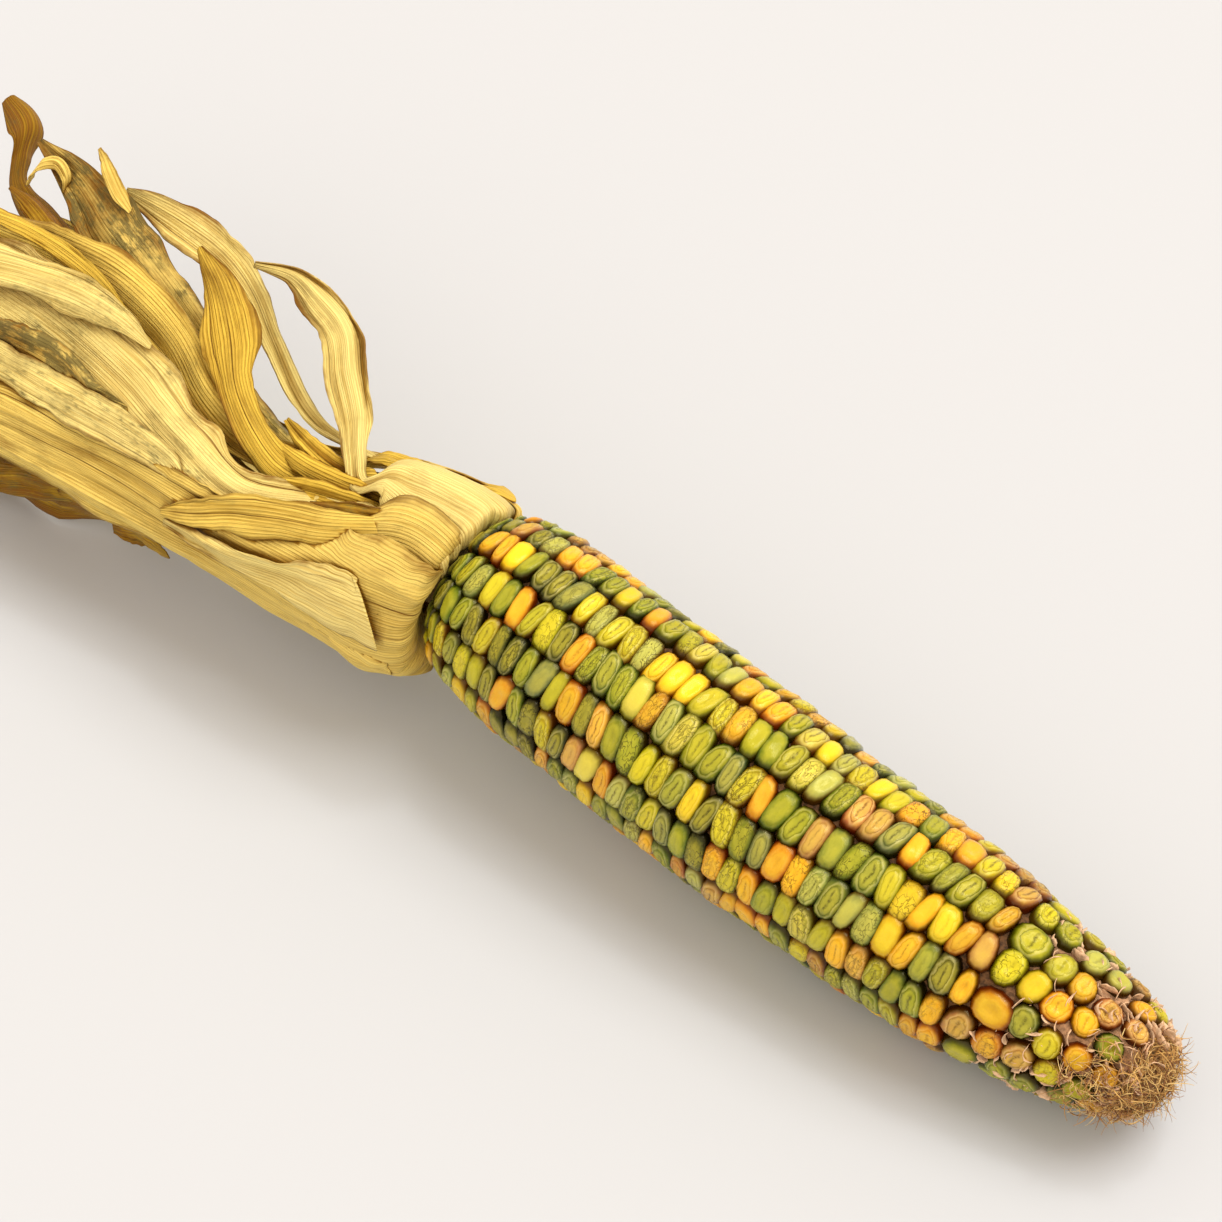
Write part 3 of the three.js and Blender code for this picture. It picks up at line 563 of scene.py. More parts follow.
def rest_matrix():
    """From the ear's own axes to the frame, which starts at its rest spot"""
    share = place_share(0, REST_KERNEL + 0.5, REST_KERNEL + 1)
    along, radius, normal_x, normal_y = profile_at(share)
    crown = round_axis(along - normal_x * FLAT_DEPTH, radius - normal_y * FLAT_DEPTH, 0.0)
    turn = Matrix.Rotation(REST_TILT, 4, "Y")
    return Matrix.Translation(-(turn @ Vector(crown))) @ turn


EAR_TO_FRAME = np.array(rest_matrix())
HUSK_TO_FRAME = EAR_TO_FRAME @ np.array(Matrix.Rotation(HUSK_ROLL, 4, "X"))


def to_frame(points, matrix):
    """Places in the frame of points in the ear's or the husk's own axes"""
    return points @ matrix[:3, :3].T + matrix[:3, 3]


# ---- Mesh helpers --------------------------------------------------------------------------

def add_primitive(name, operator, **values):
    """Adds a primitive with nothing else selected, and names it"""
    bpy.ops.object.select_all(action="DESELECT")
    operator(**values)
    piece = bpy.context.object
    piece.name = name
    piece.data.name = name
    return piece


def add_grid(name, columns, rows):
    """A flat grid; returns it with each point's place across (-1 to 1) and along (0 to 1)"""
    piece = add_primitive(name, bpy.ops.mesh.primitive_grid_add,
                          x_subdivisions=columns, y_subdivisions=rows, size=2)
    flat = points_of(piece)
    return piece, flat[:, 0], (flat[:, 1] + 1) / 2


def points_of(piece):
    points = np.empty(len(piece.data.vertices) * 3)
    piece.data.vertices.foreach_get("co", points)
    return points.reshape(-1, 3)


def corners_of(piece):
    """The vertex at each corner of each face"""
    corners = np.empty(len(piece.data.loops), np.int32)
    piece.data.loops.foreach_get("vertex_index", corners)
    return corners


def write_points(piece, points):
    """Writes millimetre points into a mesh, none of them below the floor"""
    points = np.array(points)
    points[:, 2] = np.maximum(points[:, 2], 0)
    piece.data.vertices.foreach_set("co", (points * MM).ravel())
    piece.data.update()


def add_mesh(name, points, faces, matrix):
    """A piece from points in the ear's or the husk's own axes, and faces between them"""
    points = to_frame(np.asarray(points), matrix)
    mesh = bpy.data.meshes.new(name)
    mesh.from_pydata(np.zeros_like(points).tolist(), [], faces)
    piece = bpy.data.objects.new(name, mesh)
    bpy.context.collection.objects.link(piece)
    write_points(piece, points)
    mesh.shade_smooth()
    return piece


def write_attribute(piece, name, values):
    layer = piece.data.attributes.new(name, "FLOAT", "POINT")
    layer.data.foreach_set("value", np.asarray(values, np.float32))


def write_uv(piece, uv):
    """Gives each corner of the mesh the pattern place of its vertex"""
    layer = piece.data.uv_layers.get("UVMap") or piece.data.uv_layers.new(name="UVMap")
    layer.data.foreach_set("uv", np.asarray(uv, np.float32)[corners_of(piece)].ravel())


def close_round(piece):
    """Joins the seam and the gathered ends of a grid that was wrapped round"""
    bpy.ops.object.mode_set(mode="EDIT")
    bpy.ops.mesh.select_all(action="SELECT")
    bpy.ops.mesh.remove_doubles(threshold=0.02 * MM)
    bpy.ops.mesh.normals_make_consistent(inside=False)
    bpy.ops.object.mode_set(mode="OBJECT")
    piece.data.shade_smooth()


def finish_piece(piece, slot, material, *nodes):
    """Gives a piece its material and hides the solids that it stands for, if any; the slot is not used
    """
    piece.data.materials.clear()
    piece.data.materials.append(material)
    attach(piece, "root")
    if nodes:
        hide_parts(*nodes)


def apply_modifier(piece, kind, **values):
    modifier = piece.modifiers.new(kind.title(), kind)
    for key, value in values.items():
        setattr(modifier, key, value)
    bpy.context.view_layer.objects.active = piece
    bpy.ops.object.modifier_apply(modifier=modifier.name)


# ---- Materials -----------------------------------------------------------------------------

def new_material(name):
    """A new material, its node tree and its shader"""
    material = bpy.data.materials.new(name)
    material.use_nodes = True
    return material, material.node_tree, material.node_tree.nodes["Principled BSDF"]


def add_node(tree, kind, inputs=None, **values):
    """Adds a node; inputs maps a socket to a value or to the socket that feeds it"""
    node = tree.nodes.new(kind)
    for key, value in values.items():
        setattr(node, key, value)
    for key, value in (inputs or {}).items():
        if isinstance(value, bpy.types.NodeSocket):
            tree.links.new(value, node.inputs[key])
        else:
            node.inputs[key].default_value = value
    return node


def attribute(tree, name):
    return add_node(tree, "ShaderNodeAttribute", attribute_name=name).outputs["Fac"]


def ramp(tree, factor, stops):
    """A value or colour that changes from stop to stop as the factor rises"""
    node = add_node(tree, "ShaderNodeValToRGB", {"Fac": factor})
    elements = node.color_ramp.elements
    while len(elements) < len(stops):
        elements.new(0.5)
    for element, (place, value) in zip(elements, stops):
        element.position = place
        element.color = (value, value, value, 1) if isinstance(value, (int, float)) else value
    return node.outputs["Color"]


def mix(tree, factor, first, second, blend="MIX"):
    node = add_node(tree, "ShaderNodeMix", data_type="RGBA", blend_type=blend)
    for key, value in ((0, factor), (6, first), (7, second)):
        if isinstance(value, bpy.types.NodeSocket):
            tree.links.new(value, node.inputs[key])
        else:
            node.inputs[key].default_value = value if key == 0 else (*value[:3], 1)
    return node.outputs[2]


def maths(tree, operation, *values, clamp=False):
    node = add_node(tree, "ShaderNodeMath", dict(enumerate(values)), operation=operation)
    node.use_clamp = clamp
    return node.outputs[0]


def times(tree, first, second, clamp=False):
    return maths(tree, "MULTIPLY", first, second, clamp=clamp)


def times_plus(tree, first, second, added, clamp=False):
    return maths(tree, "MULTIPLY_ADD", first, second, added, clamp=clamp)


def stretched_noise(tree, vector, scale, detail=3.0, roughness=0.55):
    mapping = add_node(tree, "ShaderNodeMapping", {"Vector": vector, "Scale": scale})
    noise = add_node(tree, "ShaderNodeTexNoise", {
        "Vector": mapping.outputs[0], "Scale": 1.0, "Detail": detail, "Roughness": roughness})
    return noise.outputs["Fac"]


def add_bump(tree, shader, height, distance, strength=0.8):
    bump = add_node(tree, "ShaderNodeBump", {
        "Height": height, "Strength": strength, "Distance": distance})
    tree.links.new(bump.outputs[0], shader.inputs["Normal"])


def new_group(name, *sockets):
    """A node group with its sockets; returns it with what comes in and what goes out"""
    tree = bpy.data.node_groups.new(name, "ShaderNodeTree")
    for in_out, kind, names in sockets:
        for socket in names.split():
            tree.interface.new_socket(socket, in_out=in_out, socket_type="NodeSocket" + kind)
    start = tree.nodes.new("NodeGroupInput").outputs
    end = tree.nodes.new("NodeGroupOutput").inputs
    return tree, start, end


def leaf_streaks(tree, uv, fine, rise, ribs):
    """How pale a leaf is from fibre to fibre and darker along its ribs; painted shade in hollows,
    light on rises
    """
    hair = stretched_noise(tree, uv, (48.0, 0.9, 1.0), 2.0)
    band = stretched_noise(tree, uv, (1.6, 0.14, 1.0), 3.0)
    streak = times_plus(tree, ramp(tree, fine, [(0.36, 0.0), (0.56, 1.0)]), 0.46, 0.19)
    streak = times_plus(tree, ramp(tree, hair, [(0.36, 0.0), (0.60, 1.0)]), 0.34, streak)
    streak = times_plus(tree, ramp(tree, band, [(0.36, 0.0), (0.62, 1.0)]), 0.22, streak)
    streak = maths(tree, "SUBTRACT", streak, ribs)
    # painted light and shade: paler where the leaf is lifted, darker where it sinks
    return times_plus(tree, rise, 0.16, streak, clamp=True)


def leaf_ribs(tree, uv, fine, vein):
    """Thin dark lines that run along a leaf and fade in and out"""
    across = add_node(tree, "ShaderNodeSeparateXYZ", {0: uv}).outputs[0]
    rank = times_plus(tree, vein, 0.9, times(tree, across, 11.0))
    line = ramp(tree, maths(tree, "PINGPONG", rank, 0.5), [(0.0, 1.0), (0.06, 0.9), (0.20, 0.0)])
    return times(tree, line, ramp(tree, fine, [(0.34, 0.25), (0.60, 1.0)]))


def leaf_folds(tree, fold, depth):
    """Lines along a leaf's sharp folds, the stronger the deeper they are: painted shade, also sunk in
    the bump
    """
    to_fold = maths(tree, "PINGPONG", fold, 0.5)
    line = ramp(tree, to_fold, [(0.0, 1.0), (0.015, 0.9), (0.035, 0.25), (0.12, 0.0)])
    return times(tree, line, depth)


def leaf_mould(tree, uv, spots):
    """Specks and blots of mildew, in some regions only"""
    region = ramp(tree, stretched_noise(tree, uv, (0.55, 0.38, 1.0), 2.0),
                  [(0.40, 0.0), (0.58, 1.0)])
    specks = ramp(tree, stretched_noise(tree, uv, (10.0, 3.0, 1.0), 3.0),
                  [(0.50, 0.0), (0.66, 1.0)])
    blots = ramp(tree, stretched_noise(tree, uv, (2.6, 1.1, 1.0), 5.0, 0.7),
                 [(0.44, 0.0), (0.64, 1.0)])
    mould = times(tree, specks, times_plus(tree, blots, 0.7, 0.3))
    mould = times_plus(tree, blots, 0.60, mould)
    return times(tree, times(tree, region, mould), spots, clamp=True)


def leaf_group():
    """Veins, streaks, age, mildew and painted shade of a dry leaf; its pattern runs along the leaf in
    cm
    """
    tree, start, end = new_group(
        "Leaf Fibres", ("INPUT", "Color", "Pale Straw Brown Mildew"),
        ("INPUT", "Float", "Age Spots Ribs"), ("OUTPUT", "Color", "Color"),
        ("OUTPUT", "Float", "Roughness Height"))
    uv = add_node(tree, "ShaderNodeUVMap", uv_map="UVMap").outputs["UV"]
    age, crease, fold, depth, rise, rim, occlusion_shade = (
        attribute(tree, "leaf_" + name)
        for name in ("age", "crease", "fold", "depth", "rise", "rim", "occlusion_shade"))
    fine = stretched_noise(tree, uv, (26.0, 0.34, 1.0), 3.0)
    vein = stretched_noise(tree, uv, (7.0, 0.12, 1.0), 3.0)
    cloud = stretched_noise(tree, uv, (1.1, 0.50, 1.0), 4.0, 0.65)
    crinkle = stretched_noise(tree, uv, (3.0, 8.0, 1.0), 4.0)
    ribs = times(tree, leaf_ribs(tree, uv, fine, vein), start["Ribs"])
    fold_line = leaf_folds(tree, fold, depth)

    # Age browns a leaf in clouds and along its rim; its creases and folds are darkened with painted
    # shade
    aged = times_plus(tree, cloud, 2.9, maths(tree, "ADD", age, -1.76))
    aged = times_plus(tree, rim, 0.30, aged)
    aged = maths(tree, "ADD", aged, start["Age"], clamp=True)
    aged = times(tree, aged, times_plus(tree, fine, -0.9, 1.35), clamp=True)
    # painted shade in the creases and along the folds
    painted_fold_shade = maths(tree, "MAXIMUM", times(tree, crease, 0.5), fold_line)
    edge = times(tree, ramp(tree, rim, [(0.60, 0.0), (1.0, 0.7)]),
                 ramp(tree, cloud, [(0.42, 0.0), (0.62, 1.0)]))
    colour = mix(tree, leaf_streaks(tree, uv, fine, rise, ribs), start["Straw"], start["Pale"])
    for browned in (aged, painted_fold_shade, edge):
        colour = mix(tree, browned, colour, start["Brown"])

    # Mildew, and painted shade that darkens what lies under other leaves
    mould = leaf_mould(tree, uv, start["Spots"])
    colour = mix(tree, times(tree, mould, 0.8), colour, start["Mildew"])
    # painted shade: the colour darkened and warmed where other leaves stand close in front
    shaded_colour = mix(tree, 1.0, colour, (0.40, 0.26, 0.07), "MULTIPLY")
    colour = mix(tree, ramp(tree, occlusion_shade, [(0.05, 0.0), (0.50, 1.0)]), colour, shaded_colour)

    height = times_plus(tree, fine, 1.0, times(tree, vein, 0.9))
    for pattern, rise_of in ((crinkle, 0.35), (fold_line, -1.0), (ribs, -1.4)):
        height = times_plus(tree, pattern, rise_of, height)
    tree.links.new(colour, end["Color"])
    tree.links.new(times_plus(tree, fine, 0.25, 0.40), end["Roughness"])
    tree.links.new(height, end["Height"])
    return tree


def leaf_material(group, husk, name, age, spots, warm, ribs):
    """One finish of the husk, from the shared group of fibres"""
    material, tree, shader = new_material(name)
    pale = Vector(husk.pale_colour).lerp(Vector(husk.golden_colour), warm)
    straw = Vector(husk.straw_colour).lerp(Vector(husk.brown_colour), warm * 0.4)
    fibres = add_node(tree, "ShaderNodeGroup", node_tree=group)
    for key, colour in (("Pale", pale), ("Straw", straw), ("Brown", husk.brown_colour),
                        ("Mildew", husk.mildew_colour)):
        fibres.inputs[key].default_value = (*colour, 1)
    for key, value in (("Age", age), ("Spots", spots), ("Ribs", ribs)):
        fibres.inputs[key].default_value = value
    tree.links.new(fibres.outputs["Color"], shader.inputs["Base Color"])
    tree.links.new(fibres.outputs["Roughness"], shader.inputs["Roughness"])
    shader.inputs["Specular IOR Level"].default_value = 0.3
    shader.inputs["Specular Tint"].default_value = (1.0, 0.90, 0.45, 1)
    add_bump(tree, shader, fibres.outputs["Height"], 0.0006)
    return material


def kernel_cracks(tree, place):
    """Fine lines like those of dried mud"""
    noise = add_node(tree, "ShaderNodeTexNoise", {"Vector": place, "Scale": 2.6, "Detail": 2.0})
    bent = add_node(tree, "ShaderNodeVectorMath", {0: place, 1: noise.outputs["Color"]},
                    operation="ADD")
    mapping = add_node(tree, "ShaderNodeMapping", {
        "Vector": bent.outputs[0], "Scale": (1.7, 2.9, 1.0)})
    cells = add_node(tree, "ShaderNodeTexVoronoi", {"Vector": mapping.outputs[0], "Scale": 1.0},
                     feature="DISTANCE_TO_EDGE")
    return ramp(tree, cells.outputs["Distance"], [(0.0, 1.0), (0.02, 0.8), (0.055, 0.0)])


def kernel_dent(tree, along, across, cloud):
    """How far from its dent's middle a point of a kernel lies, and how far from the dent's slit"""
    sway = times_plus(tree, cloud, 0.7, maths(tree, "ADD", along, -0.35))
    dent_x = times(tree, sway, 1.9)
    dent_y = times(tree, across, 1.5)
    squares = maths(tree, "ADD", times(tree, dent_x, dent_x), times(tree, dent_y, dent_y))
    return maths(tree, "SQRT", squares), maths(tree, "ABSOLUTE", sway)


def kernel_material():
    """Each kernel's own colour with painted shade down its sides and light on its crown; a dent, a
    slit, fine cracks
    """
    material, tree, shader = new_material("Kernel Skin")
    base = add_node(tree, "ShaderNodeAttribute", attribute_name="kernel_colour").outputs["Color"]
    seed, wrinkle, slit, rim = (
        attribute(tree, "kernel_" + name) for name in ("seed", "wrinkle", "slit", "rim"))
    uv = add_node(tree, "ShaderNodeUVMap", uv_map="UVMap").outputs["UV"]
    along, across, _ = add_node(tree, "ShaderNodeSeparateXYZ", {0: uv}).outputs
    offset = add_node(tree, "ShaderNodeCombineXYZ", {
        0: times(tree, seed, 37.0), 1: times(tree, seed, 91.0), 2: seed}).outputs[0]
    place = add_node(tree, "ShaderNodeVectorMath", {0: uv, 1: offset}, operation="ADD").outputs[0]
    cloud = stretched_noise(tree, place, (1.3, 1.6, 1.0), 3.0)
    grain = stretched_noise(tree, place, (6.0, 9.0, 1.0), 4.0)

    # The dent's floor, the dark line round it painted as shade, and the light lip outside that painted
    # as a highlight
    dent, from_slit = kernel_dent(tree, along, across, cloud)
    inside = ramp(tree, dent, [(0.70, 1.0), (1.0, 0.0)])
    ring = times(tree, ramp(tree, dent, [(0.78, 0.0), (0.93, 1.0), (1.0, 0.0)]),
                 times(tree, slit, 0.55))
    lip = ramp(tree, times(tree, dent, 0.6), [(0.60, 0.0), (0.67, 1.0), (0.78, 0.0)])
    lip = times(tree, times(tree, lip, slit), ramp(tree, rim, [(0.3, 0.0), (0.7, 0.36)]))

    # Sharp lines: the slit along the dent, and cracks over the crown
    slit_line = times(tree, ramp(tree, from_slit, [(0.0, 1.0), (0.04, 0.8), (0.13, 0.0)]),
                      ramp(tree, maths(tree, "ABSOLUTE", across), [(0.30, 1.0), (0.56, 0.0)]))
    slit_line = times(tree, times(tree, slit_line, slit),
                      ramp(tree, grain, [(0.35, 0.3), (0.6, 1.0)]))
    cracked = times(tree, ramp(tree, rim, [(0.18, 0.0), (0.5, 1.0)]),
                    ramp(tree, cloud, [(0.38, 0.15), (0.52, 1.0)]))
    cracks = times(tree, times(tree, kernel_cracks(tree, place), wrinkle), cracked)
    sharp = maths(tree, "MAXIMUM", slit_line, cracks)

    # Painted shade: greener or browner from kernel to kernel and darker down the sides, nearly black
    # between them
    side_tone = mix(tree, ramp(tree, seed, [(0.35, 0.0), (0.65, 1.0)]),
                    (0.36, 0.46, 0.08), (0.58, 0.36, 0.10))
    side_shade_tone = mix(tree, 1.0, base, side_tone, "MULTIPLY")
    shade_and_crack_tone = mix(tree, 1.0, side_shade_tone, (0.28, 0.14, 0.06), "MULTIPLY")
    # a paler tone: random clouds and the dent's floor, and painted light on the crown
    light = mix(tree, 0.36, base, (1.0, 0.88, 0.08))
    lip_highlight_tone = mix(tree, 0.55, base, (1.0, 0.92, 0.40))
    colour = base
    for mask, tone in (
            (ramp(tree, cloud, [(0.38, 0.0), (0.66, 0.9)]), light),
            (times(tree, inside, 0.35), light),
            # painted light on the middle of the crown
            (ramp(tree, rim, [(0.50, 0.0), (0.95, 0.6)]), light),
            (ramp(tree, rim, [(0.26, 1.0), (0.88, 0.0)]), side_shade_tone),
            (ramp(tree, rim, [(0.20, 1.0), (0.38, 0.62), (0.60, 0.0)]), shade_and_crack_tone),
            (times(tree, ring, 0.9), side_shade_tone),
            (lip, lip_highlight_tone),
            (times(tree, sharp, 0.75), shade_and_crack_tone)):
        colour = mix(tree, mask, colour, tone)
    tree.links.new(colour, shader.inputs["Base Color"])

    height = times_plus(tree, grain, 0.3, times(tree, maths(tree, "MAXIMUM", ring, sharp), -0.7))
    height = times_plus(tree, inside, times(tree, slit, -1.0), height)
    add_bump(tree, shader, height, 0.0004)
    rough = times_plus(tree, grain, 0.2, times_plus(tree, wrinkle, 0.12, 0.14))
    tree.links.new(rough, shader.inputs["Roughness"])
    shader.inputs["Specular IOR Level"].default_value = 0.30
    shader.inputs["Specular Tint"].default_value = (1.0, 0.92, 0.42, 1)
    shader.inputs["Coat Weight"].default_value = 0.16
    shader.inputs["Coat Roughness"].default_value = 0.18
    return material


def mottle_group():
    """Specks all over a dry surface, as a colour and a height; built once for all materials"""
    group = bpy.data.node_groups.get("Dry Mottle")
    if group is not None:
        return group
    tree, start, end = new_group(
        "Dry Mottle", ("INPUT", "Vector", "Place"), ("INPUT", "Float", "Scale"),
        ("INPUT", "Color", "Ground Specks"), ("OUTPUT", "Color", "Color"),
        ("OUTPUT", "Float", "Height"))
    noise = add_node(tree, "ShaderNodeTexNoise", {
        "Vector": start["Place"], "Scale": start["Scale"], "Detail": 4.0}).outputs["Fac"]
    specks = ramp(tree, noise, [(0.38, 1.0), (0.62, 0.0)])
    tree.links.new(mix(tree, specks, start["Ground"], start["Specks"]), end["Color"])
    tree.links.new(noise, end["Height"])
    return tree


def mottled(tree, colour, scale, dark_share):
    """The colour and height of a mottled surface, with its specks darker by a share"""
    mottle = add_node(tree, "ShaderNodeGroup", node_tree=mottle_group())
    place = add_node(tree, "ShaderNodeTexCoord").outputs["Object"]
    tree.links.new(place, mottle.inputs["Place"])
    mottle.inputs["Scale"].default_value = scale
    mottle.inputs["Ground"].default_value = (*colour, 1)
    mottle.inputs["Specks"].default_value = (*(part * dark_share for part in colour), 1)
    return mottle.outputs["Color"], mottle.outputs["Height"]


def dry_material(name, colour, scale, dark_share, far=None, roughness=0.85):
    """A rough dry surface with darker specks, and another colour where it is far along"""
    material, tree, shader = new_material(name)
    shade, height = mottled(tree, colour, scale, dark_share)
    if far is not None:
        far_shade, _ = mottled(tree, far, scale, FAR_DARK_SHARE)
        shade = mix(tree, attribute(tree, "far_along"), shade, far_shade)
    tree.links.new(shade, shader.inputs["Base Color"])
    add_bump(tree, shader, height, 0.0006)
    shader.inputs["Roughness"].default_value = roughness
    return material


# ---- Kernels -------------------------------------------------------------------------------

def kernel_pattern():
    """One kernel laid out flat as rings of a disc, by extruding its edge outwards"""
    pattern = add_primitive("kernel_pattern", bpy.ops.mesh.primitive_circle_add,
                            vertices=KERNEL_SIDES, radius=KERNEL_RINGS[0], fill_type="TRIFAN")
    bpy.ops.object.mode_set(mode="EDIT")
    radius = KERNEL_RINGS[0]
    for ring in (*KERNEL_RINGS[1:], KERNEL_SKIRT_RING):
        bpy.ops.mesh.select_all(action="DESELECT")
        bpy.ops.mesh.select_non_manifold()
        bpy.ops.mesh.extrude_edges_move()
        bpy.ops.transform.resize(value=(ring / radius, ring / radius, 1))
        radius = ring
    bpy.ops.mesh.select_all(action="SELECT")
    bpy.ops.mesh.normals_make_consistent(inside=False)
    bpy.ops.object.mode_set(mode="OBJECT")
    disc = points_of(pattern)
    faces = [tuple(face.vertices) for face in pattern.data.polygons]
    if sum(face.normal.z for face in pattern.data.polygons) <= 0:
        faces = [face[::-1] for face in faces]
    bpy.data.objects.remove(pattern)
    return disc, faces


def kernel_span(row, kernel):
    """Where a kernel of a row starts and ends, as shares of the profile; beads are longer"""
    if kernel < BEADS_START:
        return place_share(row, kernel), place_share(row, kernel + 1)
    begin = place_share(row, BEADS_START)
    step = BEAD_PITCH * (1 - begin) / (KERNELS_PER_ROW - BEADS_START)
    shift = BEAD_STAGGER * (row % 2) + BEAD_JITTER * (draw(row, 700 + kernel) - 0.5)
    first = begin + step * (kernel - BEADS_START + (shift if kernel > BEADS_START else 0.1))
    return first, begin + step * (kernel + 1 - BEADS_START + shift)


def kernels_in_row(row):
    """How many kernels a row has, now that those of its tip are larger"""
    beads = (KERNELS_PER_ROW - BEADS_START) / BEAD_PITCH - BEAD_STAGGER * (row % 2)
    return BEADS_START + int(beads)


def kernel_outline(disc, share, half_x, half_y, tip, chance):
    """The flat pattern stretched to a kernel's size, squared off, tapered and hollowed"""
    turn = np.arctan2(disc[:, 1], disc[:, 0])
    blunt = KERNEL_BLUNTNESS + 0.26 * tip
    x, y = (half * share * np.sign(wave) * np.abs(wave) ** blunt
            for half, wave in ((half_x, np.cos(turn)), (half_y, np.sin(turn))))
    x = x * (1 + KERNEL_TAPER * (chance[2] - 0.5) * y / half_y)
    return x - (0.9 * chance[10] - 0.15) * (y / half_y) ** 2 * (1 - tip), y


def crown_height(share, x, y, half_y, tip, dent_depth, chance):
    """The height of a kernel's points over its crown: a dome with a dent and a soft ripple"""
    roundness = KERNEL_ROUNDNESS - 0.25 * tip
    dome = (1 - share ** roundness) ** (1 / roundness)
    height = (KERNEL_SHOULDER + (BEAD_SHOULDER - KERNEL_SHOULDER) * tip) * (dome - 1)
    trough = 1 - smoothstep(share, 0.15, 0.62)
    depth = dent_depth * (0.3 + 1.5 * chance[3]) * (1 + 0.9 * tip)
    side_dip = 0.5 + 0.5 * np.cos(np.clip(y / half_y * 1.35, -1, 1) * math.pi)
    height = height - depth * trough * (0.45 + 0.55 * side_dip)
    height = height - 0.35 * (y / half_y) ** 2 * (1 - tip)
    return height + 0.14 * np.sin(x * 1.7 + 9 * chance[4]) * np.cos(y * 0.9 + 5 * chance[5])


def kernel_points(disc, row, kernel, dent_depth):
    """One kernel's points on the ear, their place on its pattern, and their rim height"""
    first, last = kernel_span(row, kernel)
    middle = (first + last) / 2
    along, radius, _, _ = profile_at(middle)
    tip = float(smoothstep(along, TIP_START, TIP_FULL))
    butt = 1 - float(smoothstep(along, BUTT_FULL, BUTT_END))
    chance = [draw(row, 400 + 50 * index + kernel) for index in range(11)]
    length = (last - first) * PROFILE_TOTAL
    half_x = length / 2 * (KERNEL_LENGTH - 0.20 * tip + 0.12 * (chance[0] - 0.5))
    row_width = 2 * math.pi * (radius - CROWN_INSET) / KERNEL_ROWS
    half_y = row_width / 2 * (KERNEL_WIDTH - 0.04 * tip + 0.10 * (chance[1] - 0.5))
    half_y = max(half_y, 0.8 * half_x)
    reach = np.hypot(disc[:, 0], disc[:, 1])
    in_skirt = reach > (1 + KERNEL_SKIRT_RING) / 2
    share = np.minimum(reach, 1.0)
    x, y = kernel_outline(disc, share, half_x, half_y, tip, chance)
    height = crown_height(share, x, y, half_y, tip, dent_depth, chance)
    height = np.where(in_skirt, height - KERNEL_SKIRT, height)
    rise = HEIGHT_JITTER * (draw(row, 100 + kernel) - 0.5)
    lean = KERNEL_LEAN * (chance[6] - 0.35) + 0.10 * butt
    swing = KERNEL_SWING * (chance[7] - 0.5)
    height = height + rise + lean * x + swing * y
    skew = KERNEL_SKEW * (chance[8] - 0.5)
    shift = (0.7 + 1.2 * tip) * (chance[9] - 0.5)
    along, crown, normal_x, normal_y = profile_at(middle + (x + skew * y) / PROFILE_TOTAL)
    angle = row_angle(row, along) + (y + shift) / radius
    points = round_axis(along + normal_x * height, crown + normal_y * height, angle)
    # the rim height, 1 in the crown's middle, steers the kernel's painted shade and light
    rim = np.where(in_skirt, 0, np.clip(1 - share ** 3, 0, 1))
    return points, np.stack([x / half_x, y / half_y], axis=-1), rim


def kernel_colour(row, kernel):
    """The colour of one kernel: a seeded pick whose odds change along the ear"""
    share = (kernel + 0.5) / KERNELS_PER_ROW
    near = np.array([max(0, 1 - abs(share - place) / COLOUR_REACH) for place in COLOUR_PLACES])
    near = near / near.sum()
    odds = np.array([np.dot(near, shares) for _, shares in KERNEL_COLOURS])
    lift = -math.cos(2 * math.pi * row / KERNEL_ROWS - HUSK_ROLL)
    dark_top = DARK_TOP * max(0, lift) * (1 - share)
    odds[:2] = odds[:2] * (1 + dark_top + DARK_BUTT * max(0, 1 - kernel / DARK_RINGS))
    picks = np.cumsum(odds / odds.sum())
    index = int(np.searchsorted(picks, draw(row, 1000 + kernel)))
    index = min(index, len(KERNEL_COLOURS) - 1)
    colour = linear(KERNEL_COLOURS[index][0])
    return colour * (0.64 + 0.36 * draw(row, 1100 + kernel)) * (1 - 0.10 * share), index


def kernel_looks(row, kernel):
    """One kernel's red, green, blue and alpha, its seed, and how cracked and slit its crown is"""
    colour, index = kernel_colour(row, kernel)
    smooth = index in SMOOTH_COLOURS
    uncracked = draw(row, 1200 + kernel) < (0.88 if smooth else 0.64)
    wrinkle = 0.0 if uncracked else 0.4 + 0.6 * draw(row, 1400 + kernel)
    slit = smoothstep(draw(row, 1500 + kernel), 0.05, 0.7) * (0.65 if smooth else 1.0)
    return (*colour, 1.0, draw(row, 1300 + kernel), wrinkle, slit)


class CORN_OT_kernels(bpy.types.Operator):
    """Sets every kernel of the ear on the cob, each one a copy of the same pattern"""

    bl_idname = "corn.kernels"
    bl_label = "Kernels"

    def execute(self, context):
        dent_depth = context.scene.corn_ear.dent_depth / MM
        disc, pattern = kernel_pattern()
        points, places, rims, looks, faces = [], [], [], [], []
        for row in range(KERNEL_ROWS):
            for kernel in range(kernels_in_row(row)):
                start = len(points) * len(disc)
                faces.extend(tuple(corner + start for corner in face) for face in pattern)
                parts = kernel_points(disc, row, kernel, dent_depth)
                for values, part in zip((points, places, rims), parts):
                    values.append(part)
                looks.append(np.tile(kernel_looks(row, kernel), (len(disc), 1)))
        piece = add_mesh("ear_kernels", np.concatenate(points), faces, EAR_TO_FRAME)
        write_uv(piece, np.concatenate(places))
        write_attribute(piece, "kernel_rim", np.concatenate(rims))
        looks = np.concatenate(looks)
        for column, name in enumerate(("seed", "wrinkle", "slit"), 4):
            write_attribute(piece, "kernel_" + name, looks[:, column])
        layer = piece.data.color_attributes.new("kernel_colour", "FLOAT_COLOR", "POINT")
        layer.data.foreach_set("color", looks[:, :4].astype(np.float32).ravel())
        finish_piece(piece, "kernels", kernel_material(), "ear")
        return {"FINISHED"}


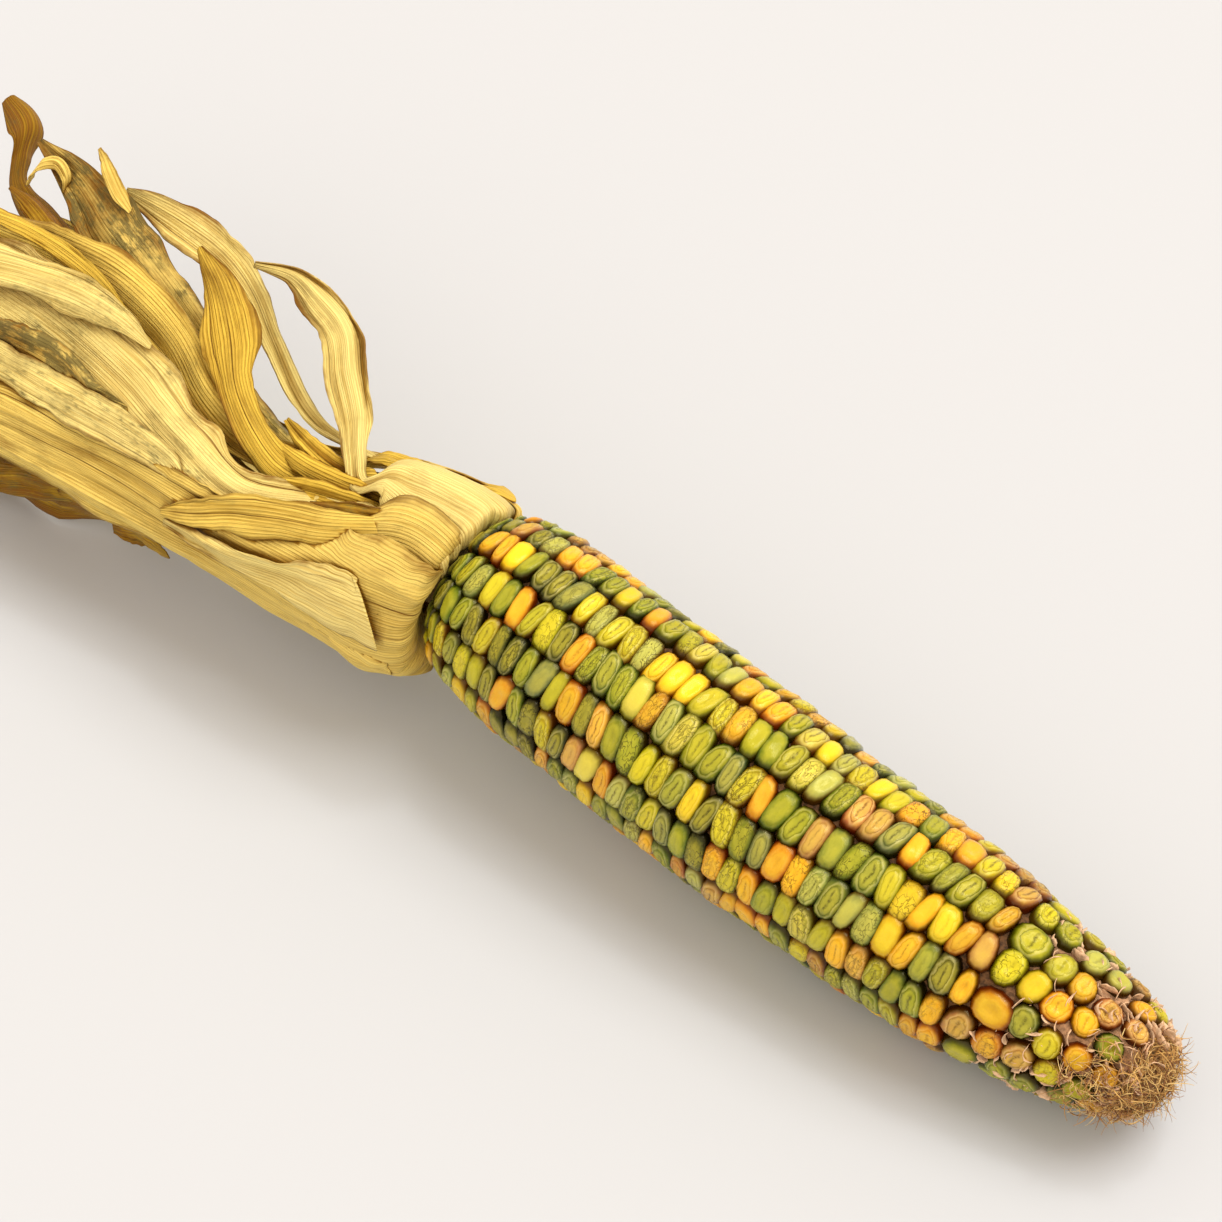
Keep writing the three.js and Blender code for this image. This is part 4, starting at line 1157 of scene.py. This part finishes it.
class CORN_OT_cob(bpy.types.Operator):
    """Adds the cob that the kernels stand on, and finishes the shank"""

    bl_idname = "corn.cob"
    bl_label = "Cob and Shank"

    def execute(self, context):
        colour = tuple(context.scene.corn_ear.valley_colour)
        piece, across, share = add_grid("ear_cob", COB_COLUMNS, COB_RINGS)
        angle = across * math.pi
        along, radius, normal_x, normal_y = profile_at(share)
        depth = COB_DEPTH + 0.25 * patch_noise(angle * 9, share * 120, 31)
        ends = smoothstep(share, 0, 0.012) * smoothstep(1 - share, 0, 0.012)
        radius = np.maximum(radius - normal_y * depth, 0) * ends
        points = round_axis(along - normal_x * depth, radius, angle)
        write_points(piece, to_frame(points, EAR_TO_FRAME))
        far = (along - COB_TIP_START) / (COB_TIP_FULL - COB_TIP_START)
        write_attribute(piece, "far_along", np.clip(far, 0, 1))
        close_round(piece)
        material = dry_material("Cob Chaff", colour, 900, 0.3, far=COB_TIP_COLOUR)
        finish_piece(piece, "kernels", material, "ear")
        self.add_stem()
        return {"FINISHED"}

    def add_stem(self):
        """A ridged stem with closed ends, for the shank"""
        piece, across, share = add_grid("shank_stem", 60, 60)
        angle = across * math.pi
        ends = smoothstep(share, 0, 0.03) * smoothstep(1 - share, 0, 0.03)
        ridge = 0.22 * np.cos(angle * STEM_RIDGES) + 0.25 * patch_noise(angle * 3, share * 7, 61)
        radius = (STEM_RADIUS + ridge) * np.maximum(ends, 0)
        along = STEM_START - share * STEM_LENGTH
        points = np.stack([along, radius * np.sin(angle), radius * np.cos(angle)], axis=1)
        write_points(piece, to_frame(points, HUSK_TO_FRAME))
        close_round(piece)
        finish_piece(piece, "shank", dry_material("Dry Stem", STEM_COLOUR, 400, 0.5), "shank")


# ---- Silk and chaff ------------------------------------------------------------------------

def strip_faces(start, rows, columns, closed=False):
    """Faces between rows of points: a sheet, or a tube where each row is closed"""
    size = columns if closed else columns + 1
    faces = []
    for row in range(rows):
        for column in range(columns):
            a = start + row * size + column
            b = start + row * size + (column + 1) % size
            faces.append((a, b, b + size, a + size))
    return faces


def tuft_thread(chance):
    """Where a thread starts on the tuft, the way out from there, and how much it turns out"""
    lean = math.acos(1 - 1.08 * chance[0])
    turn = 2 * math.pi * chance[1]
    outward = np.array([math.cos(lean), math.sin(lean) * math.sin(turn),
                        math.sin(lean) * math.cos(turn)])
    size = 0.78 + 0.20 * chance[2]
    return SILK_CENTRE + outward * size * SILK_SIZE, outward, 0.40 * chance[10] - 0.10


def stray_thread(chance):
    """The same for a loose thread on the tip's lower front"""
    share = share_along(STRAY_START + STRAY_STRETCH * chance[0] ** 0.6)
    along, radius, _, _ = profile_at(share)
    turn = math.radians(STRAY_TURN + 60 * (chance[1] + chance[2] - 1))
    place = round_axis(along, radius + 0.4 * chance[12], turn)
    outward = round_axis(along, radius + 1.4, turn) - round_axis(along, radius + 0.4, turn)
    return place, outward, 0.1


def thread_points(strand):
    """The points of a thin thread that lies over the tuft and curls in and out of it"""
    chance = draws(strand, 2000, 13)
    thread = tuft_thread if strand < SILK_STRANDS else stray_thread
    place, outward, turned_out = thread(chance)
    heading = unit(np.cross(outward, np.array(chance[3:6]) - 0.5)) + turned_out * outward
    heading = unit(heading)
    curl = (np.array(chance[6:9]) - 0.5) * 1.9 - 0.30 * outward
    length = 3.0 + 4.5 * chance[9]
    width = 0.09 + 0.13 * chance[11] ** 2
    points = []
    for segment in range(SILK_SEGMENTS + 1):
        side = unit(np.cross(heading, (0.3, 0.9, 0.2)))
        other = np.cross(heading, side)
        taper = width * (1 - 0.7 * segment / SILK_SEGMENTS)
        for corner in range(SILK_SIDES):
            angle = 2 * math.pi * corner / SILK_SIDES
            points.append(place + taper * (math.cos(angle) * side + math.sin(angle) * other))
        place = place + heading * length / SILK_SEGMENTS
        strays = np.array(draws(strand * 11 + segment, 1, 3)) - 0.5
        heading = unit(heading + curl * 0.5 + 0.35 * strays)
    return points


class CORN_OT_silk(bpy.types.Operator):
    """Adds the matted tuft of dried silk at the tip"""

    bl_idname = "corn.silk"
    bl_label = "Silk"

    def execute(self, context):
        points, faces, tones = [], [], []
        for strand in range(SILK_STRANDS + SILK_STRAYS):
            start = len(points)
            points += thread_points(strand)
            faces += strip_faces(start, SILK_SEGMENTS, SILK_SIDES, closed=True)
            faces.append(tuple(range(start + SILK_SIDES - 1, start - 1, -1)))
            faces.append(tuple(range(len(points) - SILK_SIDES, len(points))))
            tones += [draw(strand, 2020)] * (len(points) - start)
        piece = add_mesh("silk_strands", points, faces, HUSK_TO_FRAME)
        write_attribute(piece, "silk_tone", tones)
        finish_piece(piece, "silk", self.thread_material(), "silk_tuft")
        self.add_core(tuple(context.scene.corn_ear.silk_colour))
        return {"FINISHED"}

    def thread_material(self):
        """Each thread has its own tone, from reddish brown to straw"""
        material, tree, shader = new_material("Dry Silk")
        stops = [(index / 3, (*linear(colour), 1)) for index, colour in enumerate(SILK_COLOURS)]
        tones = ramp(tree, attribute(tree, "silk_tone"), stops)
        tree.links.new(tones, shader.inputs["Base Color"])
        shader.inputs["Roughness"].default_value = 0.55
        return material

    def add_core(self, colour):
        """The matted middle of the tuft"""
        piece = add_primitive("silk_core", bpy.ops.mesh.primitive_uv_sphere_add,
                              segments=40, ring_count=24, radius=1)
        ball = points_of(piece)
        lumps = 1 + 0.16 * patch_noise(ball[:, 0] * 4 + ball[:, 1] * 3, ball[:, 2] * 4, 71)
        points = SILK_CENTRE + ball[:, [2, 0, 1]] * lumps[:, None] * SILK_SIZE * SILK_CORE
        write_points(piece, to_frame(points, HUSK_TO_FRAME))
        piece.data.shade_smooth()
        finish_piece(piece, "silk", dry_material("Matted Silk", colour, 900, 0.3), "silk_tuft")


def flake_points(flake):
    """The points of a cupped flake that stands between the crowns of the tip"""
    chance = draws(flake, 3000, 7)
    share = share_along(CHAFF_START + (CHAFF_END - CHAFF_START) * chance[0] ** 0.7)
    along, radius, _, _ = profile_at(share)
    width = 1.2 + 1.5 * chance[1]
    tall = 1.4 + 1.3 * chance[2]
    turn = 2 * math.pi * chance[3]
    swing = math.pi * chance[4]
    cup = 0.9 * (chance[5] - 0.3)
    points = []
    for row in range(CHAFF_ROWS + 1):
        up = row / CHAFF_ROWS
        for column in range(CHAFF_COLUMNS + 1):
            x = (2 * column / CHAFF_COLUMNS - 1) * (1 - 0.25 * up ** 2)
            ragged = 0.35 * (draw(flake * 5 + column, 3100) - 0.5) * up
            rise = radius - CHAFF_ROOT + tall * (up + ragged) * (1 - 0.25 * x * x)
            out = cup * x * x * width + 0.5 * tall * up ** 2 * (chance[6] - 0.2)
            slide = x * width * math.cos(swing) + out * math.sin(swing)
            round_by = (x * width * math.sin(swing) - out * math.cos(swing)) / radius
            points.append(round_axis(along + slide, rise, turn + round_by))
    return points


class CORN_OT_chaff(bpy.types.Operator):
    """Adds the papery chaff that stands between the kernels of the tip"""

    bl_idname = "corn.chaff"
    bl_label = "Chaff"

    def execute(self, context):
        points, faces = [], []
        for flake in range(CHAFF_FLAKES):
            faces += strip_faces(len(points), CHAFF_ROWS, CHAFF_COLUMNS)
            points += flake_points(flake)
        piece = add_mesh("tip_chaff", points, faces, EAR_TO_FRAME)
        apply_modifier(piece, "SOLIDIFY", thickness=CHAFF_THICKNESS * MM, offset=0)
        material = dry_material("Papery Chaff", CHAFF_COLOUR, 700, 0.6, roughness=0.4)
        finish_piece(piece, "silk", material, "ear")
        return {"FINISHED"}


# ---- Leaves --------------------------------------------------------------------------------

def smooth_point(points, share):
    """A point of the smooth line through stations, at a share of the way from first to last"""
    count = len(points)
    place = (count - 1) * min(max(share, 0), 1)
    index = min(int(place), count - 2)
    weight = place - index
    p1 = points[index]
    p2 = points[index + 1]
    p0 = points[index - 1] if index > 0 else 2 * p1 - p2
    p3 = points[index + 2] if index + 2 < count else 2 * p2 - p1
    gap0, gap1, gap2 = (
        max(np.dot(gap, gap) ** 0.25, 1e-4) for gap in (p1 - p0, p2 - p1, p3 - p2))
    t1 = ((p1 - p0) / gap0 - (p2 - p0) / (gap0 + gap1) + (p2 - p1) / gap1) * gap1
    t2 = ((p2 - p1) / gap1 - (p3 - p1) / (gap1 + gap2) + (p3 - p2) / gap2) * gap1
    return (p1 + t1 * weight + (-3 * p1 + 3 * p2 - 2 * t1 - t2) * weight ** 2
            + (2 * p1 - 2 * p2 + t1 + t2) * weight ** 3)


def smooth_line(stations, shares):
    """The smooth line through stations at shares of the way, with its heading"""
    line, ahead, behind = (
        np.array([smooth_point(stations, share + step) for share in shares])
        for step in (0, HEADING_STEP, -HEADING_STEP))
    return line, unit_rows(ahead - behind)


def station_draw(number, kind, shares):
    """The leaf's station draws, read between the stations"""
    stations = np.arange(LEAF_STATIONS + 1)
    return np.interp(shares * LEAF_STATIONS, stations, draw(number, kind + stations) * 2 - 1)


def fold_stations(leaf):
    """The stations of a leaf's root, from the shank up and back over the fold"""
    if leaf.layer is None:
        return []
    facing = math.radians(leaf.facing)
    spread = math.radians(leaf.spread)
    return [(along, radius * math.sin(facing), radius * math.cos(facing), radius * spread,
             leaf.spread, leaf.facing) for along, radius in FOLDS[leaf.layer]]


class LeafShape:
    """A leaf's middle surface: each point's place, how far it is lifted and how creased it is"""

    def __init__(self, number, leaf, across, along):
        self.number = number
        self.leaf = leaf
        self.across = across
        self.along = along
        self.lay_out()
        self.lift, self.crease = self.pleats()
        self.coarse_folds = self.add_folds()
        self.add_buckles()
        self.add_waves()
        self.lip = self.add_lip()

    def noise(self, x, y, seed):
        return patch_noise(x, y, self.number + seed)

    def lay_out(self):
        """The leaf's centre line and its width, then their values at each point"""
        shares, index = np.unique(np.round(self.along, 6), return_inverse=True)
        stations = np.array(fold_stations(self.leaf) + self.leaf.way, float)
        centre, heading = smooth_line(stations[:, :3], shares)
        (half, wrap, face), _ = (values.T for values in smooth_line(stations[:, 3:], shares))
        face = np.radians(face)
        zero = np.zeros_like(face)
        outward = np.stack([zero, np.sin(face), np.cos(face)], axis=1)
        sideways = np.stack([zero, np.cos(face), -np.sin(face)], axis=1)
        sideways = sideways - heading * np.sum(sideways * heading, axis=1, keepdims=True)
        free = smoothstep(shares, 0.3, 0.6)
        half = half * (1 + EDGE_WAVE * free * station_draw(self.number, 300, shares))
        ripple = LEAF_RIPPLE * free * station_draw(self.number, 400, shares)
        length = running_length(centre)
        self.total = length[-1]
        self.widest = max(half)
        self.centre = centre[index]
        self.outward = outward[index]
        self.sideways = unit_rows(sideways)[index]
        self.wrap = np.radians(np.where(np.abs(wrap) < 1, 1, wrap))[index]
        self.free = free[index]
        self.wide = half[index]
        self.ripple = ripple[index]
        self.run = length[index]
        self.taper = (np.minimum(1, half / 4) * smoothstep(shares, 0.12, 0.3))[index]
        self.neck = smoothstep(self.along, 0.14, 0.24) * (1 - smoothstep(self.along, 0.42, 0.6))

        # Each edge comes and goes, and is torn here and there
        self.side = np.where(self.across < 0, 1, 2)
        self.edge = smoothstep(np.abs(self.across), 0.6, 1.0)
        self.tear = 0.8 * self.noise(self.run / 9, self.side * 5.0, 40)
        self.tear = self.tear + 0.3 * self.noise(self.run / 2.6, self.side * 7.0, 60)
        self.wander = 0.06 * value_noise(self.run / 34, self.number + 80) * self.free

    def pleats(self):
        """Lift of the pleats and the ripple that the solid has too, and the crease in the pleats'
        valleys, painted as shade
        """
        column = (self.across + self.wander + 1) / 2 * self.leaf.pleats * 2
        ridge = 1 - np.abs(np.mod(column, 2) - 1)
        lift = 0.8 * self.leaf.pleat_depth * self.taper * ridge + self.ripple * self.across / 2
        return lift, np.clip(1 - ridge * 2.2, 0, 1) * 0.3 * self.taper

    def add_folds(self):
        """Two sizes of sharp folds that wander, come and go; returns the coarse ones' lines"""
        lines = []
        for spacing, size, reach, seed in FOLD_SIZES:
            count = max(3, round(2 * self.widest / spacing))
            place = (self.across + self.wander + 1.3) / 2 * count
            fold = np.floor(place)
            share = place - fold
            low, high = (value_noise(self.run / reach + 17.3 * line, self.number + seed)
                         for line in (fold, fold + 1))
            self.lift = self.lift + size * self.taper * (low * (1 - share) + high * share)
            depth = np.clip(-1.8 * np.where(share < 0.5, low, high), 0, 1) * self.taper
            lines.append((place, depth))
        return lines[0]

    def add_buckles(self):
        """A few slanting buckles across the leaf"""
        for buckle in range(BUCKLES):
            middle = self.total * (0.28 + 0.6 * draw(self.number, 560 + buckle))
            slant = 2.2 * (draw(self.number, 570 + buckle) - 0.5)
            gap = np.abs(self.run - middle - slant * self.wide * self.across)
            size = 1.3 * (draw(self.number, 580 + buckle) - 0.5) * self.taper
            self.lift = self.lift + size * np.exp(-gap / 2.6)
            # painted shade in the buckle's valley
            self.crease = self.crease + np.clip(-size, 0, 1) * np.exp(-gap / 0.5) * 0.6

    def add_waves(self):
        """The gathered neck is crumpled and darkened with painted shade; the free part is waved and
        curls at its edges
        """
        crumple = self.noise(self.run / 7.0, self.across * 3.4, 100)
        fret = self.noise(self.run / 1.7, self.across * 3.1, 110)
        wave = self.noise(self.run / 17, self.across * 1.2, 120)
        curl = self.edge * value_noise(self.run / 12, self.number + 130 + self.side)
        loose = self.free * np.minimum(1, self.wide / 5)
        self.lift = self.lift + 0.45 * self.neck * crumple
        self.lift = self.lift + (0.03 + 0.06 * self.neck) * fret * self.taper
        self.lift = self.lift + 0.9 * loose * wave + 1.9 * loose * curl
        self.crease = self.crease + 0.15 * self.neck

    def add_lip(self):
        """The lip of the fold is frilled; returns how near each point is to it"""
        if self.leaf.layer is None:
            return np.zeros_like(self.run)
        far = max(along for along, _ in FOLDS[self.leaf.layer])
        lip = np.exp(-((self.centre[:, 0] - far) / LIP_LENGTH) ** 2)
        lip = lip * (1 - smoothstep(self.along, 0.2, 0.4))
        frill = self.noise(self.wide * self.across / 1.7, self.run / 9, 150)
        self.lift = self.lift + 0.6 * lip * frill
        return lip

    def points(self):
        """Each point of the leaf, wrapped round its way, in the husk's own axes"""
        across, wide, wrap = self.across, self.wide, self.wrap
        torn = np.sign(across) * self.edge * np.minimum(wide * 0.16, 1.3) * self.tear
        lean = (wide * across + torn) / np.maximum(wide, 0.01) * wrap
        bend = wide / wrap
        points = self.centre + self.sideways * (bend * np.sin(lean))[:, None]
        points = points + self.outward * (bend * (np.cos(lean) - 1) + self.lift)[:, None]
        if self.leaf.layer is None:
            end = 1 - smoothstep(self.along, 0.0, 0.16)
            points[:, 0] -= end * wide * (0.5 * across + 0.25 * across ** 2)
        frill = self.noise(wide * across / 2.2, self.run / 30, 140)
        points[:, 0] += self.lip * (LIP_REACH + 1.2 * frill)
        return points

    def pattern(self):
        """Each point's place in the pattern of fibres, which gather where the leaf is narrow"""
        gather = np.sqrt(self.wide * self.widest)
        place = np.stack([self.across * gather, self.run], axis=1) / PATTERN_UNIT
        return place + np.array([7.3, 3.1]) * self.number

    def marks(self):
        """What the material reads at each point; crease, fold, depth and rise also steer painted shade
        and light
        """
        place, depth = self.coarse_folds
        from_middle = np.abs(self.across)
        near_tip = smoothstep(self.along, 0.55, 1.0)
        return {
            "age": 0.55 * near_tip + 0.25 * smoothstep(from_middle, 0.8, 1),
            "crease": np.clip(self.crease, 0, 1),
            "fold": place + 40,  # well above zero, so that it repeats evenly
            "depth": depth,
            "rise": np.clip(self.lift / 1.6, -1, 1),
            "rim": smoothstep(from_middle + 0.12 * self.tear, 0.72, 1.0),
        }


class CORN_OT_husk(bpy.types.Operator):
    """Adds the husk's leaves, pulled back from the ear"""

    bl_idname = "corn.husk"
    bl_label = "Husk"

    def execute(self, context):
        husk = context.scene.corn_husk
        group = leaf_group()
        finishes = {finish: (slot, leaf_material(group, husk, name, *values))
                    for finish, (name, slot, *values) in FINISHES.items()}
        loose = [Leaf(name, finish, None, 0, 0, LOOSE_PLEATS, LOOSE_PLEAT_DEPTH, 0, way)
                 for name, finish, way in LOOSE_LEAVES]
        pieces = [self.add_leaf(number, leaf, husk.thickness, *finishes[leaf.finish])
                  for number, leaf in enumerate(LEAVES + loose)]
        self.mark_occlusion_shade(pieces)
        return {"FINISHED"}

    def add_leaf(self, number, leaf, thickness, slot, material):
        """Adds one leaf; those without a solid of their own are loose scraps"""
        loose = not leaf.name.startswith("husk_leaf")
        widest = max(station[3] for station in leaf.way[1:])
        columns = int(np.clip(round(2 * widest / COLUMN_WIDTH), *COLUMNS))
        rows = LOOSE_ROWS if loose else LEAF_ROWS
        piece, across, along = add_grid(leaf.name + "_dry", columns, rows)
        shape = LeafShape(number, leaf, across, along)
        points = to_frame(shape.points(), HUSK_TO_FRAME)
        if leaf.touches:
            drop = thickness / MM / 2 + TOUCH_GAP - points[:, 2].min()
            points[:, 2] += drop * smoothstep(along, 0.15, leaf.touches)
        write_points(piece, points)
        write_uv(piece, shape.pattern())
        for name, values in shape.marks().items():
            write_attribute(piece, "leaf_" + name, values)
        piece.data.shade_smooth()
        apply_modifier(piece, "SOLIDIFY", thickness=thickness, offset=0)
        finish_piece(piece, slot, material, *([] if loose else [leaf.name]))
        return piece

    def mark_occlusion_shade(self, pieces):
        """Marks each point of the leaves with how closely others stand in front of it, for painted
        shade
        """
        places, faces, count = [], [], 0
        for piece in pieces:
            places.append(points_of(piece))
            faces.append(corners_of(piece).reshape(-1, 4) + count)
            count += len(places[-1])
        tree = BVHTree.FromPolygons(np.concatenate(places).tolist(), np.concatenate(faces).tolist())
        reach = SHADE_REACH * MM
        ways = [Vector(way) for way in SHADE_RAYS]
        for piece in pieces:
            occlusion_shade = []
            for vertex in piece.data.vertices:
                normal = vertex.normal
                start = vertex.co + normal * (SHADE_START * MM)
                shade = 0
                for way in ways:
                    gap = tree.ray_cast(start, normal + way, reach)[3]
                    shade += 0 if gap is None else 1 - gap / reach
                occlusion_shade.append(shade / len(ways))
            write_attribute(piece, "leaf_occlusion_shade", occlusion_shade)


# ---- Stage ---------------------------------------------------------------------------------

def add_soft_sun(name, direction, strength, spread, colour):
    """A distant soft light that shines from a direction, evenly over the whole floor"""
    bpy.ops.object.light_add(type="SUN", location=Vector(direction))
    light = bpy.context.object
    light.name = name
    light.data.energy = strength
    light.data.angle = math.radians(spread)
    light.data.color = colour
    light.rotation_euler = (-Vector(direction)).to_track_quat("-Z", "Y").to_euler()


class CORN_OT_stage(bpy.types.Operator):
    """Adds the camera, the pale floor and the soft studio light"""

    bl_idname = "corn.stage"
    bl_label = "Stage"

    def execute(self, context):
        settings = context.scene.corn_stage
        self.add_camera(context.scene)
        floor = add_primitive("studio_floor", bpy.ops.mesh.primitive_plane_add, size=FLOOR_SIZE)
        material, _, shader = new_material("Studio Floor")
        shader.inputs["Base Color"].default_value = (*settings.floor_colour, 1)
        shader.inputs["Roughness"].default_value = 0.9
        floor.data.materials.append(material)

        for name, (direction, share, spread, colour) in LIGHTS.items():
            add_soft_sun(name, direction, settings.key_strength * share, spread, colour)
        world = bpy.data.worlds.new("Studio")
        world.use_nodes = True
        background = world.node_tree.nodes["Background"]
        background.inputs["Color"].default_value = (*settings.ambient_colour, 1)
        background.inputs["Strength"].default_value = 1.0
        context.scene.world = world
        context.scene.view_settings.view_transform = "Standard"
        return {"FINISHED"}

    def add_camera(self, scene):
        """The camera looks down on the ear from the side of its tip"""
        back = Vector((math.sin(VIEW_AZIMUTH) * math.cos(VIEW_ELEVATION),
                       -math.cos(VIEW_AZIMUTH) * math.cos(VIEW_ELEVATION),
                       math.sin(VIEW_ELEVATION)))
        bpy.ops.object.camera_add(location=VIEW_CENTRE + back * VIEW_DISTANCE)
        camera = bpy.context.object
        camera.data.lens = LENS
        camera.data.sensor_width = SENSOR
        camera.rotation_euler = (-back).to_track_quat("-Z", "Y").to_euler()
        scene.camera = camera


# ---- Panel and registration ----------------------------------------------------------------

class CORN_PT_panel(bpy.types.Panel):
    """Shows the settings and a button for each step"""

    bl_idname = "CORN_PT_panel"
    bl_label = "Corn Ear"
    bl_space_type = "VIEW_3D"
    bl_region_type = "UI"
    bl_category = "Corn Ear"

    def draw(self, context):
        scene = context.scene
        for settings in (scene.corn_ear, scene.corn_husk, scene.corn_stage):
            for key in settings.bl_rna.properties.keys():
                if key not in {"rna_type", "name"}:
                    self.layout.prop(settings, key)
        for step in STEPS:
            self.layout.operator(step.bl_idname)


STEPS = (CORN_OT_kernels, CORN_OT_cob, CORN_OT_chaff, CORN_OT_silk, CORN_OT_husk, CORN_OT_stage)
GROUPS = {"corn_ear": CORN_PG_ear, "corn_husk": CORN_PG_husk, "corn_stage": CORN_PG_stage}


def register():
    for kind in (*GROUPS.values(), *STEPS, CORN_PT_panel):
        bpy.utils.register_class(kind)
    for name, kind in GROUPS.items():
        setattr(bpy.types.Scene, name, bpy.props.PointerProperty(type=kind))


def unregister():
    for name in GROUPS:
        delattr(bpy.types.Scene, name)
    for kind in (CORN_PT_panel, *reversed(STEPS), *GROUPS.values()):
        bpy.utils.unregister_class(kind)


def main():
    register()
    bpy.ops.corn.kernels()
    bpy.ops.corn.cob()
    bpy.ops.corn.chaff()
    bpy.ops.corn.silk()
    bpy.ops.corn.husk()
    bpy.ops.corn.stage()


if __name__ == "__main__":
    main()
